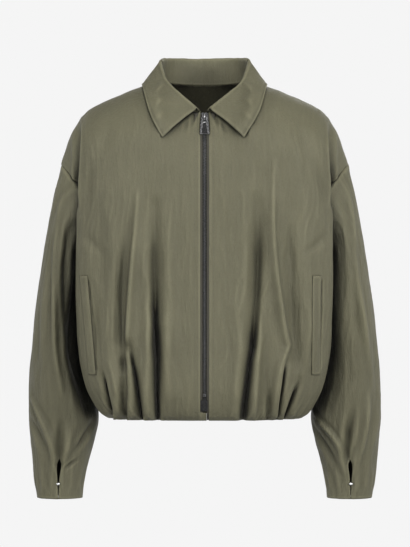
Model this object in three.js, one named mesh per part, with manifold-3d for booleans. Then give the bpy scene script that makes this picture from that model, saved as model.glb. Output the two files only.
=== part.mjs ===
// A cropped bomber jacket with a shirt collar, dropped shoulders, full sleeves and an elastic hem,
// filled out as if worn. Millimetres, +Z up, the front faces -Y. Left and right are the wearer's,
// so the right side is at -X. The origin is between the shoulders, level with the neck.
import * as THREE from "three";
import { mergeVertices } from "three/addons/utils/BufferGeometryUtils.js";
import Module from "manifold-3d";

const wasm = await Module();
wasm.setup();

// Driving dimensions
const CLOTH = 1.2; // thickness of a cloth wall
const SEAM = 0.3; // gap between two pieces at a seam
const HEM_Z = -536;
const CHEST_Z = -60; // height whose section spaces the columns of the body panels
const UNDERARM_Z = -245;
const NECK_HALF = 72; // half the neck's width at the shoulder seams
const NECK_SIDE_Z = 20; // height of the neck at the shoulder seams
const NECK_FRONT = { y: -86, z: -36 };
const NECK_BACK = { y: 66, z: 16 };
const FRONT_EDGE = 7; // from the centre line to a front's zip edge
const SECTION_POWER = 0.83; // under 1 gives the torso section fuller corners than an ellipse
const ROLL_POWER = 0.5; // a quarter circle over the shoulder
const FRONT_ROLL_POWER = 0.95; // a gentler start below the front neck

// The torso's horizontal sections. half and halfBack run to the folds at the arms, front and back are
// the depths at the centre, cornerFront and cornerBack are how far the folds lie from the side seam.
const TORSO = [
  { z: -536, half: 157, halfBack: 156, front: 107, back: 105, cornerFront: 20, cornerBack: 20, side: 156 },
  { z: -528, half: 169, halfBack: 166, front: 115, back: 112, cornerFront: 22, cornerBack: 22, side: 167 },
  { z: -511, half: 181, halfBack: 176, front: 122, back: 118, cornerFront: 25, cornerBack: 25, side: 179 },
  { z: -480, half: 195, halfBack: 186, front: 127, back: 122, cornerFront: 29, cornerBack: 30, side: 192 },
  { z: -430, half: 204, halfBack: 191, front: 128, back: 123, cornerFront: 36, cornerBack: 38, side: 201 },
  { z: -360, half: 208, halfBack: 188, front: 126, back: 121, cornerFront: 46, cornerBack: 46, side: 194 },
  { z: -300, half: 209, halfBack: 181, front: 124, back: 119, cornerFront: 56, cornerBack: 56, side: 180 },
  { z: -245, half: 208, halfBack: 176, front: 122, back: 117, cornerFront: 62, cornerBack: 66, side: 165 },
  { z: -200, half: 207, halfBack: 187, front: 121, back: 115, cornerFront: 63, cornerBack: 79, side: 165 },
  { z: -150, half: 205, halfBack: 197, front: 119, back: 113, cornerFront: 64, cornerBack: 76, side: 165 },
  { z: -60, half: 204, halfBack: 204, front: 117, back: 108, cornerFront: 64, cornerBack: 66, side: 165 },
];

// The shoulder line from the neck to the fold over the arm.
const SHOULDER = [
  { x: 72, z: 20 },
  { x: 100, z: 10 },
  { x: 136, z: -4 },
  { x: 168, z: -18 },
  { x: 192, z: -31.5 },
  { x: 204, z: -43 },
];

// The armhole seam is a loop about this centre. along runs from it to the top of the sleeve.
const ARMHOLE = {
  centre: { x: 201.5, y: 3.5, z: -182.5 },
  along: { x: 36.5, y: 1.5, z: 62.5 },
  frontWidth: 53,
  backWidth: 59,
  bow: 12,
};

// How a row of cloth leaves the fold and reaches the armhole, from the underarm (share 0) to the top.
const RETURN = [
  { share: 0, foldX: 0, foldY: 15, foldZ: 0, armX: 0, armY: 90, armZ: 0 },
  { share: 0.25, foldX: 0, foldY: 14, foldZ: 0, armX: -22, armY: 30, armZ: 0 },
  { share: 0.5, foldX: 0, foldY: 14, foldZ: -4, armX: -16, armY: 16, armZ: -12 },
  { share: 0.7, foldX: -3, foldY: 22, foldZ: -10, armX: 6, armY: 18, armZ: -42 },
  { share: 0.85, foldX: 2, foldY: 24, foldZ: -22, armX: 20, armY: 10, armZ: -60 },
  { share: 1, foldX: 35, foldY: 0, foldZ: -55, armX: 22, armY: 0, armZ: -62 },
];

// The sleeve's sections: outer and inner edges in the front view, depth centre and half depth.
const SLEEVE = [
  { z: -673, outer: 279, inner: 204, mid: 46, deep: 34 },
  { z: -645, outer: 283, inner: 201, mid: 48, deep: 39 },
  { z: -610, outer: 287, inner: 193, mid: 51, deep: 49 },
  { z: -575, outer: 291, inner: 184, mid: 52, deep: 58 },
  { z: -540, outer: 294, inner: 178, mid: 52, deep: 63 },
  { z: -505, outer: 294, inner: 184, mid: 50, deep: 66 },
  { z: -470, outer: 292, inner: 195, mid: 48, deep: 68 },
  { z: -426, outer: 288, inner: 204, mid: 44, deep: 71 },
  { z: -360, outer: 281, inner: 203, mid: 35, deep: 73 },
  { z: -300, outer: 272, inner: 201, mid: 25, deep: 69 },
  { z: -245, outer: 262.5, inner: 198, mid: 12, deep: 58 },
  { z: -180, outer: 250, inner: 190, mid: 6, deep: 50 },
  { z: -120, outer: 238, inner: 180, mid: 5, deep: 48 },
];
const CUFF_Z = -673;
const SEAM_BLEND = 58; // depth below the armhole over which the sleeve takes up its own section

// Folds on the two fronts, as paths in the front view. height above 0 is a ridge, below 0 a trough.
const FRONT_FOLDS = [
  { side: -1, x0: 83, z0: -200, x1: 75, z1: -400, x2: 76, z2: -540, wide: 9, height0: -2, height2: -15 },
  { side: -1, x0: 107, z0: -190, x1: 121, z1: -380, x2: 113, z2: -540, wide: 9, height0: 3, height2: 6 },
  { side: -1, x0: 119, z0: -410, x1: 107, z1: -475, x2: 96, z2: -540, wide: 8, height0: -1, height2: -11 },
  { side: -1, x0: 139, z0: -280, x1: 137, z1: -390, x2: 131, z2: -500, wide: 11, height0: -4, height2: -5 },
  { side: -1, x0: 166, z0: -455, x1: 157, z1: -495, x2: 147, z2: -540, wide: 7, height0: -2, height2: -8 },
  { side: 1, x0: 82, z0: -190, x1: 78, z1: -385, x2: 65, z2: -540, wide: 9, height0: -2, height2: -14 },
  { side: 1, x0: 131, z0: -140, x1: 112, z1: -260, x2: 133, z2: -420, wide: 10, height0: 3, height2: 6 },
  { side: 1, x0: 138, z0: -395, x1: 125, z1: -470, x2: 118, z2: -540, wide: 8, height0: -3, height2: -8 },
  { side: 1, x0: 158, z0: -480, x1: 145, z1: -505, x2: 133, z2: -540, wide: 7, height0: -2, height2: -7 },
];

// Folds on the back, as paths seen from behind, side -1 being the wearer's right.
const BACK_FOLDS = [
  { side: -1, x0: 92, z0: -230, x1: 84, z1: -400, x2: 74, z2: -540, wide: 12, height0: -2, height2: -10 },
  { side: -1, x0: 138, z0: -200, x1: 130, z1: -360, x2: 118, z2: -540, wide: 12, height0: 2, height2: 6 },
  { side: -1, x0: 30, z0: -330, x1: 26, z1: -430, x2: 30, z2: -540, wide: 11, height0: -1, height2: -7 },
  { side: 1, x0: 64, z0: -260, x1: 60, z1: -400, x2: 52, z2: -540, wide: 12, height0: -2, height2: -9 },
  { side: 1, x0: 112, z0: -210, x1: 104, z1: -380, x2: 98, z2: -540, wide: 12, height0: 2, height2: 6 },
  { side: 1, x0: 148, z0: -300, x1: 142, z1: -430, x2: 130, z2: -540, wide: 10, height0: -2, height2: -8 },
];

// Folds down the sleeves, by the angle round the arm: 0 is outside, 90 the front, 180 the body side.
const SLEEVE_FOLDS = [
  { turn: 62, top: -215, low: -600, wide: 13, height: 5 },
  { turn: 118, top: -235, low: -420, wide: 15, height: -6 },
  { turn: 90, top: -520, low: -625, wide: 9, height: -6 },
  { turn: 132, top: -500, low: -640, wide: 13, height: -5 },
  { turn: 40, top: -500, low: -640, wide: 12, height: -4 },
  { turn: 235, top: -260, low: -560, wide: 15, height: -5 },
  { turn: 285, top: -300, low: -620, wide: 14, height: 4 },
  { turn: 320, top: -420, low: -640, wide: 12, height: -4 },
];

// Gathers of the elastic hem: two wave lengths that drift in and out of step make them uneven.
const GATHER = { depth: 3.2, rise: 62, long: 19, short: 11.5, flatHalf: 62, flatBack: -30 };
const HEM_LEVEL = 45; // height above the hem within which folds move the cloth sideways only
const RETURN_LONG = 60; // length of cloth from the fold to the side seam, for spacing the gathers
const HELD = { from: 0.86, over: 0.12 }; // where folds die out on their way across to the seam

// The collar's stations from the back (station 0) round to one front end (station 1).
// The neck seam is worked out, roll is the fold line, edge the outer edge over the shoulder.
const COLLAR = [
  { station: 0, rollX: 0, rollY: 74, rollZ: 61.5, edgeX: 0, edgeZ: -8 },
  { station: 0.25, rollX: 55, rollY: 57, rollZ: 61, edgeX: 74, edgeZ: 0 },
  { station: 0.5, rollX: 73, rollY: 8, rollZ: 54, edgeX: 98, edgeZ: 8 },
  { station: 0.63, rollX: 69, rollY: -24, rollZ: 33, edgeX: 97, edgeZ: -2 },
  { station: 0.76, rollX: 60, rollY: -47, rollZ: 14, edgeX: 89, edgeZ: -33 },
  { station: 0.88, rollX: 38, rollY: -74, rollZ: -9, edgeX: 80, edgeZ: -57 },
  { station: 1, rollX: 12.5, rollY: -90, rollZ: -32, edgeX: 64.5, edgeZ: -85 },
];
const COLLAR_ROLL = 3.2; // half the distance between the stand and the fall at the roll line
const COLLAR_LIFT = 6; // clear height of the collar's edge over the cloth
const COLLAR_BULGE = 3; // how far the middle of the fall stands out from a straight line
const COLLAR_CLEAR = 9.6; // least distance of the fall's front and back from the bare body

// The zip lies behind the edges of the fronts. lines are distances from the centre.
const ZIP = {
  topZ: -40,
  chainTopZ: -46,
  chainLowZ: -490.5,
  boxTopZ: -491,
  lowZ: -521,
  chainHalf: 3,
  chainThick: 2.2,
  boxThick: 3.2,
  tapeFrom: 3.4,
  tapeTo: 16.4,
  tapeThick: 0.8,
};
// Below the zip the right front reaches over the centre to the left one.
const UNDERLAP = { reach: 10.2, belowUp: 0.03 };
// Boxes of the slider: half width or the two side limits, along the zip, and out from its plane.
const SLIDER_Z = -47;
const SLIDER = [
  { name: "front plate", x0: -5.3, x1: 5.3, up0: -7, up1: 7, out0: 1.5, out1: 2.7 },
  { name: "back plate", x0: -5.3, x1: 5.3, up0: -7, up1: 7, out0: -2.7, out1: -1.5 },
  { name: "wedge", x0: -1.5, x1: 1.5, up0: 2, up1: 6.5, out0: -2, out1: 2 },
  { name: "front lip", x0: 4.2, x1: 5.3, up0: -7, up1: 2, out0: 0.8, out1: 2 },
  { name: "front lip", x0: -5.3, x1: -4.2, up0: -7, up1: 2, out0: 0.8, out1: 2 },
  { name: "back lip", x0: 4.2, x1: 5.3, up0: -7, up1: 2, out0: -2, out1: -0.8 },
  { name: "back lip", x0: -5.3, x1: -4.2, up0: -7, up1: 2, out0: -2, out1: -0.8 },
];
const CROWN = { mid: -0.6, from: 2.4, wide: 3, outLong: 5.75, outHigh: 5.4, inLong: 4.35, inHigh: 4.2 };
const PULL_AXIS = { up: -2.7, out: 4.2 };
const PULL = { bar: 0.85, slot: 7.9, slotHalf: 2, long: 30, thick: 1.8, lean: 5, rim: 2.3, web: 0.8 };
// The sunk middle of the pull tab: half widths at its two ends, and the web's lap into the frame.
const RECESS = { topHalf: 4.3, lowHalf: 5.9, toEnd: 2.3, lap: 0.3, widen: 1.05 };
const PULL_OUTLINE = [
  { half: 4.8, down: -0.85 },
  { half: 5.8, down: 0.3 },
  { half: 6.2, down: 5 },
  { half: 8, down: 28.6 },
  { half: 6.8, down: 30 },
];
const WELT = { thick: 1, rows: 9, columns: 4 };
const WELTS = [
  { name: "pocket_welt_right", side: -1, topIn: 188, topOut: 202, lowIn: 174.5, lowOut: 187.5 },
  { name: "pocket_welt_left", side: 1, topIn: 173.5, topOut: 188, lowIn: 172, lowOut: 186 },
];
const WELT_Z = { top: -303, low: -463 };
const SLIT = { turn: 90, topZ: -612, wide: 6.5, least: 0.35, hookZ: -647 };
const HOOK = { wide: 6, high: 3.8, thick: 1.6 };

const OLIVE = 0x6f6d59;
const DARK_METAL = 0x5b5954;
const TAPE = 0x5d5a4c;

// Numbers
const clamp = (x, lo, hi) => Math.min(hi, Math.max(lo, x));
const mix = (a, b, t) => a + (b - a) * t;
const smooth = (t) => {
  const s = clamp(t, 0, 1);
  return s * s * (3 - 2 * s);
};
const radians = THREE.MathUtils.degToRad;

// A smooth curve through one column of a table, by the values of its key column.
function column(rows, key, name) {
  const sorted = [...rows].sort((a, b) => a[key] - b[key]);
  const x = sorted.map((r) => r[key]);
  const y = sorted.map((r) => r[name]);
  const slope = x.map((_, i) => {
    const a = Math.max(i - 1, 0);
    const b = Math.min(i + 1, x.length - 1);
    return (y[b] - y[a]) / (x[b] - x[a]);
  });
  return (at) => {
    if (at <= x[0]) return y[0];
    if (at >= x[x.length - 1]) return y[y.length - 1];
    let i = 0;
    while (at > x[i + 1]) i += 1;
    const h = x[i + 1] - x[i];
    const t = (at - x[i]) / h;
    const s = 1 - t;
    return (
      s * s * (1 + 2 * t) * y[i] +
      t * t * (1 + 2 * s) * y[i + 1] +
      s * s * t * h * slope[i] -
      t * t * s * h * slope[i + 1]
    );
  };
}
function columns(rows, key) {
  const names = Object.keys(rows[0]).filter((n) => n !== key);
  return Object.fromEntries(names.map((n) => [n, column(rows, key, n)]));
}
const torso = columns(TORSO, "z");
const shoulderZ = column(SHOULDER, "x", "z");
const returning = columns(RETURN, "share");
const sleeveAt = columns(SLEEVE, "z");
const collarAt = columns(COLLAR, "station");

function hermite(a, b, ta, tb, t) {
  const s = 1 - t;
  return s * s * (1 + 2 * t) * a + t * t * (1 + 2 * s) * b + s * s * t * ta - t * t * s * tb;
}

// Height of a fold's path over a point of the front view, as a share of the fold's length.
function foldHeight(folds, side, x, z) {
  let sum = 0;
  for (const f of folds) {
    if (f.side !== side || z > f.z0) continue;
    const t = (z - f.z0) / (f.z2 - f.z0);
    const bend = 4 * t * (1 - t);
    const middle = (f.z1 - f.z0) / (f.z2 - f.z0);
    const straight = mix(f.x0, f.x2, middle);
    const off = (f.x1 - straight) / (4 * middle * (1 - middle));
    const path = mix(f.x0, f.x2, t) + off * bend;
    const away = (x - path) / f.wide;
    sum += mix(f.height0, f.height2, smooth(t * 1.15)) * smooth(t * 6) * Math.exp(-away * away);
  }
  return sum;
}

// Waves of the gathered hem at a distance along it from the centre.
function gather(along, z, flatHalf) {
  const rise = clamp((z - HEM_Z) / GATHER.rise, 0, 1);
  const fade = (1 - rise) ** 1.6;
  const clear = smooth((Math.abs(along) - flatHalf) / 14);
  const a = Math.sin((2 * Math.PI * along) / GATHER.long + 0.6);
  const b = Math.sin((2 * Math.PI * along) / GATHER.short + 1.9 * Math.sin(along / 47));
  return GATHER.depth * fade * clear * (0.6 * a + 0.4 * b);
}

// The top edge of a body panel at a distance x from the centre: the neck, then the shoulder line.
function topEdge(front, x) {
  if (x >= NECK_HALF) return { y: 0, z: shoulderZ(x) };
  const round = Math.sqrt(1 - (x / NECK_HALF) ** 2);
  const neck = front ? NECK_FRONT : NECK_BACK;
  return { y: neck.y * round, z: NECK_SIDE_Z + (neck.z - NECK_SIDE_Z) * round ** 1.2 };
}

// A point of the armhole seam. share runs from the underarm, 0, to the top of the sleeve, 1.
function armhole(front, share) {
  const { centre, along, frontWidth, backWidth, bow } = ARMHOLE;
  const c = 2 * share - 1;
  const s = Math.sqrt(Math.max(0, 1 - c * c));
  return {
    x: centre.x + along.x * c - bow * s * s,
    y: centre.y + along.y * c + (front ? -frontWidth : backWidth) * s,
    z: centre.z + along.z * c,
  };
}

// The torso section at height z, at a share c of the way from the centre to the fold.
function sectionPoint(front, c, z) {
  const turn = (c * Math.PI) / 2;
  const edge = front ? FRONT_EDGE : 0;
  const half = front ? torso.half(z) : torso.halfBack(z);
  const depth = front ? torso.front(z) : torso.back(z);
  const corner = front ? torso.cornerFront(z) : torso.cornerBack(z);
  const y = corner + (depth - corner) * Math.cos(turn) ** SECTION_POWER;
  return { x: edge + (half - edge) * Math.sin(turn) ** SECTION_POWER, y: front ? -y : y };
}
// The share of the way to the fold at which a section reaches x.
function shareOf(front, x, z = CHEST_Z) {
  const edge = front ? FRONT_EDGE : 0;
  const part = (x - edge) / ((front ? torso.half(z) : torso.halfBack(z)) - edge);
  return (2 / Math.PI) * Math.asin(clamp(part, 0, 1) ** (1 / SECTION_POWER));
}

// A panel between its centre (across 0), the fold (across 1) and the side seam or armhole (across 2).
// up runs from the hem, 0, to the underarm, 1, and on to the neck and shoulder seam, 2.
function panelBase(front, across, up) {
  const c = Math.min(across, 1);
  const flat = sectionPoint(front, c, CHEST_Z);
  const top = topEdge(front, flat.x);
  const share = up <= 1 ? 0 : (1 - Math.cos(Math.PI * (up - 1))) / 2;
  const z = up <= 1 ? mix(HEM_Z, UNDERARM_Z, up) : mix(UNDERARM_Z, top.z, share);
  const here = sectionPoint(front, c, z);
  const roll = mix(front ? 120 : 100, 80, smooth(c));
  const down = clamp((top.z - z) / roll, 0, 1);
  const nearNeck = clamp(1 - flat.x / NECK_HALF, 0, 1);
  const power = mix(ROLL_POWER, FRONT_ROLL_POWER, nearNeck);
  const fold = { x: here.x, y: mix(top.y, here.y, (1 - (1 - down) ** 2) ** power), z };
  if (across <= 1) return fold;
  const corner = front ? torso.cornerFront(z) : torso.cornerBack(z);
  const seam = up <= 1 ? { x: torso.side(z), y: 2, z } : armhole(front, share);
  const way = front ? 1 : -1;
  const leave = { x: 0, y: 0.24 * corner * way, z: 0 };
  const reach = { x: 0, y: 1.45 * corner * way, z: 0 };
  if (up > 1) {
    const row = front ? share : 1;
    const behind = { x: seam.x - fold.x, y: seam.y - fold.y, z: seam.z - fold.z };
    const straight = front ? 0 : smooth(share / 0.25) * (1 - smooth((share - 0.75) / 0.25));
    const low = front ? 0 : 1 - smooth(share / 0.25);
    const turn = (own, table, chord) => mix(mix(table, own, low), chord, straight);
    ["x", "y", "z"].forEach((k) => {
      const name = k.toUpperCase();
      leave[k] = turn(leave[k], returning["fold" + name](row), behind[k]);
      reach[k] = turn(reach[k], returning["arm" + name](row), behind[k]);
    });
  }
  const r = across - 1;
  return {
    x: hermite(fold.x, seam.x, leave.x, reach.x, r),
    y: hermite(fold.y, seam.y, leave.y, reach.y, r),
    z: hermite(fold.z, seam.z, leave.z, reach.z, r),
  };
}

// A panel as a surface of two numbers, on its own side of the jacket: bare, and with its folds.
function panel(front, side) {
  const flip = front ? side : -side;
  const plain = (across, up) => {
    const p = panelBase(front, clamp(across, 0, 2), clamp(up, 0, 2));
    return new THREE.Vector3(side * p.x, p.y, p.z);
  };
  const plainNormal = (across, up) =>
    normalOf(plain, clamp(across, NEAR, 2 - NEAR), clamp(up, NEAR, 2 - NEAR), flip);
  const point = (across, up) => {
    const p = plain(across, up);
    const outward = Math.abs(p.x);
    const held = 1 - smooth((across - HELD.from) / HELD.over);
    const folds = held * foldHeight(front ? FRONT_FOLDS : BACK_FOLDS, side, outward, p.z);
    const sideways = outward + RETURN_LONG * clamp(across - 1, 0, 1);
    const waves = gather(side * sideways, p.z, front ? GATHER.flatHalf : GATHER.flatBack);
    const way = plainNormal(across, up);
    way.z *= smooth((p.z - HEM_Z) / HEM_LEVEL);
    return p.addScaledVector(way.normalize(), folds + waves);
  };
  const normal = (across, up) =>
    normalOf(point, clamp(across, NEAR, 2 - NEAR), clamp(up, NEAR, 2 - NEAR), flip);
  return { point, normal };
}
const NEAR = 0.006;
// The outward normal of a surface given as a function of two numbers.
function normalOf(surface, a, b, flip) {
  const step = 0.004;
  const da = surface(a + step, b).sub(surface(a - step, b));
  const db = surface(a, b + step).sub(surface(a, b - step));
  return da.cross(db).normalize().multiplyScalar(flip);
}

// A sleeve as a surface of the angle round the arm and the share of the way down to the cuff.
function sleeveSurface(side) {
  const seamAt = (turn) => armhole(Math.sin(radians(turn)) >= 0, (1 + Math.cos(radians(turn))) / 2);
  const plain = (turn, down) => {
    const seam = seamAt(turn);
    const z = mix(seam.z, CUFF_Z, clamp(down, 0, 1));
    const outer = sleeveAt.outer(z);
    const inner = sleeveAt.inner(z);
    const x = (outer + inner) / 2 + ((outer - inner) / 2) * Math.cos(radians(turn));
    const y = sleeveAt.mid(z) - sleeveAt.deep(z) * Math.sin(radians(turn));
    const k = 1 - (1 - clamp((seam.z - z) / SEAM_BLEND, 0, 1)) ** 3;
    return new THREE.Vector3(side * mix(seam.x, x, k), mix(seam.y, y, k), z);
  };
  const plainNormal = (turn, down) => normalOf(plain, turn, clamp(down, NEAR, 1 - NEAR), side);
  const point = (turn, down) => {
    const p = plain(turn, down);
    let height = 0;
    for (const f of SLEEVE_FOLDS) {
      const along = clamp((f.top - p.z) / (f.top - f.low), 0, 1);
      const away = (((((turn - f.turn + 180) % 360) + 360) % 360) - 180) / f.wide;
      height += f.height * Math.sin(Math.PI * along) ** 0.8 * Math.exp(-away * away);
    }
    return p.addScaledVector(plainNormal(turn, down), height);
  };
  const normal = (turn, down) => normalOf(point, turn, clamp(down, NEAR, 1 - NEAR), side);
  return { point, normal };
}

// Walls of cloth

// The direction in which two walls with normals a and b are mitred where they meet.
const mitre = (a, b) => a.clone().add(b).divideScalar(Math.max(0.25, 1 + a.dot(b)));
// Moves a seam point towards its neighbour in the same piece, by half the seam's gap.
function trim(point, neighbour, mitred, extra = 0) {
  const by = (SEAM / 2) * mitred.length() + extra;
  point.p.addScaledVector(neighbour.p.clone().sub(point.p).normalize(), by);
}

// A cloth wall on rows of points. Each point has a place p, a direction n across the wall and its
// share of the row. Rows may differ in their number of points. A closed row goes all the way round.
function clothWall(rows, thickness = CLOTH) {
  const positions = [];
  const triangles = [];
  const put = ({ p, n }, by) => {
    positions.push(p.x + n.x * by, p.y + n.y * by, p.z + n.z * by);
    return positions.length / 3 - 1;
  };
  const ids = rows.map((row) => {
    const made = row.points.map((q) => ({ out: put(q, thickness / 2), inn: put(q, -thickness / 2) }));
    return row.closed ? [...made, made[0]] : made;
  });
  const shares = rows.map((row) => [...row.points.map((q) => q.share), ...(row.closed ? [row.end] : [])]);
  const quad = (a, b, c, d) => triangles.push(a, b, c, a, c, d);
  for (let i = 0; i + 1 < rows.length; i += 1) {
    const low = ids[i];
    const high = ids[i + 1];
    let a = 0;
    let b = 0;
    while (a + 1 < low.length || b + 1 < high.length) {
      const nextLow = a + 1 < low.length ? shares[i][a + 1] : Infinity;
      const nextHigh = b + 1 < high.length ? shares[i + 1][b + 1] : Infinity;
      if (nextLow <= nextHigh) {
        triangles.push(low[a].out, low[a + 1].out, high[b].out);
        triangles.push(low[a + 1].inn, low[a].inn, high[b].inn);
        a += 1;
      } else {
        triangles.push(low[a].out, high[b + 1].out, high[b].out);
        triangles.push(high[b + 1].inn, low[a].inn, high[b].inn);
        b += 1;
      }
    }
    if (!(rows[i].closed && rows[i + 1].closed)) {
      const last = low.length - 1;
      const top = high.length - 1;
      quad(low[0].out, high[0].out, high[0].inn, low[0].inn);
      quad(low[last].out, low[last].inn, high[top].inn, high[top].out);
    }
  }
  const first = ids[0];
  const end = ids[ids.length - 1];
  for (let j = 0; j + 1 < first.length; j += 1) {
    quad(first[j].out, first[j].inn, first[j + 1].inn, first[j + 1].out);
  }
  for (let j = 0; j + 1 < end.length; j += 1) quad(end[j].out, end[j + 1].out, end[j + 1].inn, end[j].inn);
  const geometry = new THREE.BufferGeometry()
    .setAttribute("position", new THREE.Float32BufferAttribute(positions, 3))
    .setIndex(triangles);
  return facingOut(geometry);
}

// Turns the faces round if they point inwards.
function facingOut(geometry) {
  const p = geometry.getAttribute("position");
  const index = geometry.getIndex().array;
  const at = (i) => new THREE.Vector3().fromBufferAttribute(p, i);
  let volume = 0;
  for (let i = 0; i < index.length; i += 3) {
    volume += at(index[i]).dot(at(index[i + 1]).cross(at(index[i + 2])));
  }
  if (volume < 0) {
    for (let i = 0; i < index.length; i += 3) [index[i + 1], index[i + 2]] = [index[i + 2], index[i + 1]];
  }
  geometry.computeVertexNormals();
  return geometry;
}

const cloth = (colour) => new THREE.MeshStandardMaterial({ color: colour, roughness: 0.85, metalness: 0 });
const metal = new THREE.MeshStandardMaterial({ color: DARK_METAL, roughness: 0.35, metalness: 1 });
function mesh(name, geometry, material = cloth(OLIVE)) {
  const made = new THREE.Mesh(geometry, material);
  made.name = name;
  return made;
}
const spread = (from, to, count) => Array.from({ length: count + 1 }, (_, i) => mix(from, to, i / count));

// The four quarters of the body and the two sleeves, as surfaces.
const SIDES = [-1, 1];
const FRONTS = Object.fromEntries(SIDES.map((side) => [side, panel(true, side)]));
const BACKS = Object.fromEntries(SIDES.map((side) => [side, panel(false, side)]));
const SLEEVES = Object.fromEntries(SIDES.map((side) => [side, sleeveSurface(side)]));

// Rows of a body panel: close together at the gathered hem, even above it, then in equal steps of
// angle round the armhole.
const HEM_ROWS = [0, 0.014, 0.045, 0.09, 0.15];
const LOW_ROWS = [0.23, 0.31, 0.4, 0.49, 0.58, 0.67, 0.76, 0.84, 0.92];
const ARM_STEPS = 10;
const ROWS_UP = [...HEM_ROWS, ...LOW_ROWS, ...spread(1, 2, ARM_STEPS)];
const FRONT_NECK_STEPS = 8;
const BACK_NECK_STEPS = 5;

// The neck's x at an angle from the centre, 0, to the shoulder seam, a quarter turn.
function neckX(front, angle) {
  const edge = front ? FRONT_EDGE : 0;
  return edge + (NECK_HALF - edge) * Math.sin(angle);
}
const neckAngle = (station) => (station > 0.5 ? 1 - station : station) * Math.PI;

// The places across one half of a panel: neck, shoulder, then the turn behind the fold.
function acrossShares(front, body) {
  const steps = front ? FRONT_NECK_STEPS : BACK_NECK_STEPS;
  const neck = spread(0, Math.PI / 2, steps).map((angle) => shareOf(front, neckX(front, angle)));
  return [...neck, ...spread(neck[steps], 1, body).slice(1), ...spread(1, 2, 5).slice(1)];
}
// Twice the points, from a given share outwards.
function finer(shares, from) {
  return shares.flatMap((s, i) => (i && s > from ? [(shares[i - 1] + s) / 2, s] : [s]));
}

// The points of one row of half a panel, mitred at its side, armhole, shoulder and neck seams.
function halfRow(front, side, shares, up) {
  const own = (front ? FRONTS : BACKS)[side];
  const other = (front ? BACKS : FRONTS)[side];
  const points = shares.map((a) => ({ p: own.point(a, up), n: own.normal(a, up), share: a }));
  const last = points.length - 1;
  const turn = (front ? 1 : -1) * 180 * (2 - up);
  const beyond = up < 1 ? other.normal(2, up) : SLEEVES[side].normal(turn, 0);
  const below = up === 2 ? shares.map((a) => ({ p: own.point(a, 1.97) })) : null;
  if (up < 2) points[last].n = mitre(points[last].n, beyond);
  trim(points[last], points[last - 1], points[last].n);
  if (below) {
    const neckEnd = shareOf(front, NECK_HALF) - 1e-6;
    points.forEach((q, i) => {
      const a = shares[i];
      if (a >= neckEnd) q.n = mitre(q.n, other.normal(a, 2));
      else q.n = neckMitre(front, side, a);
      trim(q, below[i], q.n);
    });
  }
  return points;
}

// Sleeves

const SLEEVE_DOWN = [0, 0.03, 0.07, 0.12, 0.18, 0.24, 0.3, 0.37, 0.44, 0.51, 0.58, 0.65, 0.71, 0.77, 0.82]
  .concat([0.86, 0.9, 0.93, 0.965, 1]);
const SLEEVE_AROUND = 2 * ARM_STEPS;
function sleeve(name, side) {
  const { point, normal } = SLEEVES[side];
  const middle = armhole(true, 0.5).z;
  const slitTop = (SLIT.topZ - middle) / (CUFF_Z - middle);
  const turns = spread(0, 360, SLEEVE_AROUND).map((t) => t + SLIT.turn);
  const rows = SLEEVE_DOWN.map((down) => {
    const points = turns.map((turn) => ({ p: point(turn, down), n: normal(turn, down), share: turn }));
    if (down < slitTop) return { points: points.slice(0, -1), closed: true, end: turns[SLEEVE_AROUND] };
    const low = (down - slitTop) / (1 - slitTop);
    const bow = Math.sin(Math.PI * clamp(low * 1.4, 0, 1)) ** 0.7;
    const gape = SLIT.wide * mix(SLIT.least, 1, bow);
    [[0, 1], [SLEEVE_AROUND, SLEEVE_AROUND - 1]].forEach(([edge, next]) => {
      const way = points[next].p.clone().sub(points[edge].p).normalize();
      points[edge].p.addScaledVector(way, gape / 2);
    });
    return { points };
  });
  rows[0].points.forEach((q, j) => {
    const turn = ((turns[j] % 360) + 360) % 360;
    const front = turn <= 180;
    const up = front ? 2 - turn / 180 : turn / 180;
    const beyond = (front ? FRONTS : BACKS)[side].normal(2, up);
    q.n = mitre(q.n, beyond);
    trim(q, rows[1].points[j], q.n);
  });
  return mesh(name, clothWall(rows));
}

// Collar

// The outer edge of the collar lies over the body, at a height and a distance from the centre.
function collarEdge(station) {
  const front = station >= 0.5;
  const a = shareOf(front, collarAt.edgeX(station));
  const top = topEdge(front, collarAt.edgeX(station)).z;
  const share = clamp((collarAt.edgeZ(station) - UNDERARM_Z) / (top - UNDERARM_Z), 0, 1);
  const up = 1 + Math.acos(1 - 2 * share) / Math.PI;
  const own = (front ? FRONTS : BACKS)[1];
  return own.point(a, up).addScaledVector(own.normal(a, up), COLLAR_LIFT);
}
// Keeps a point of the fall outside the body under it.
function clearOfBody(p, front) {
  const top = topEdge(front, Math.min(p.x, NECK_HALF * 2)).z;
  if (p.z > top) return p;
  const share = clamp((p.z - UNDERARM_Z) / (top - UNDERARM_Z), 0, 1);
  const under = panelBase(front, shareOf(front, p.x), 1 + Math.acos(1 - 2 * share) / Math.PI);
  const limit = Math.abs(under.y) + COLLAR_CLEAR;
  return Math.abs(p.y) < limit ? p.setY(front ? -limit : limit) : p;
}
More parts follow.
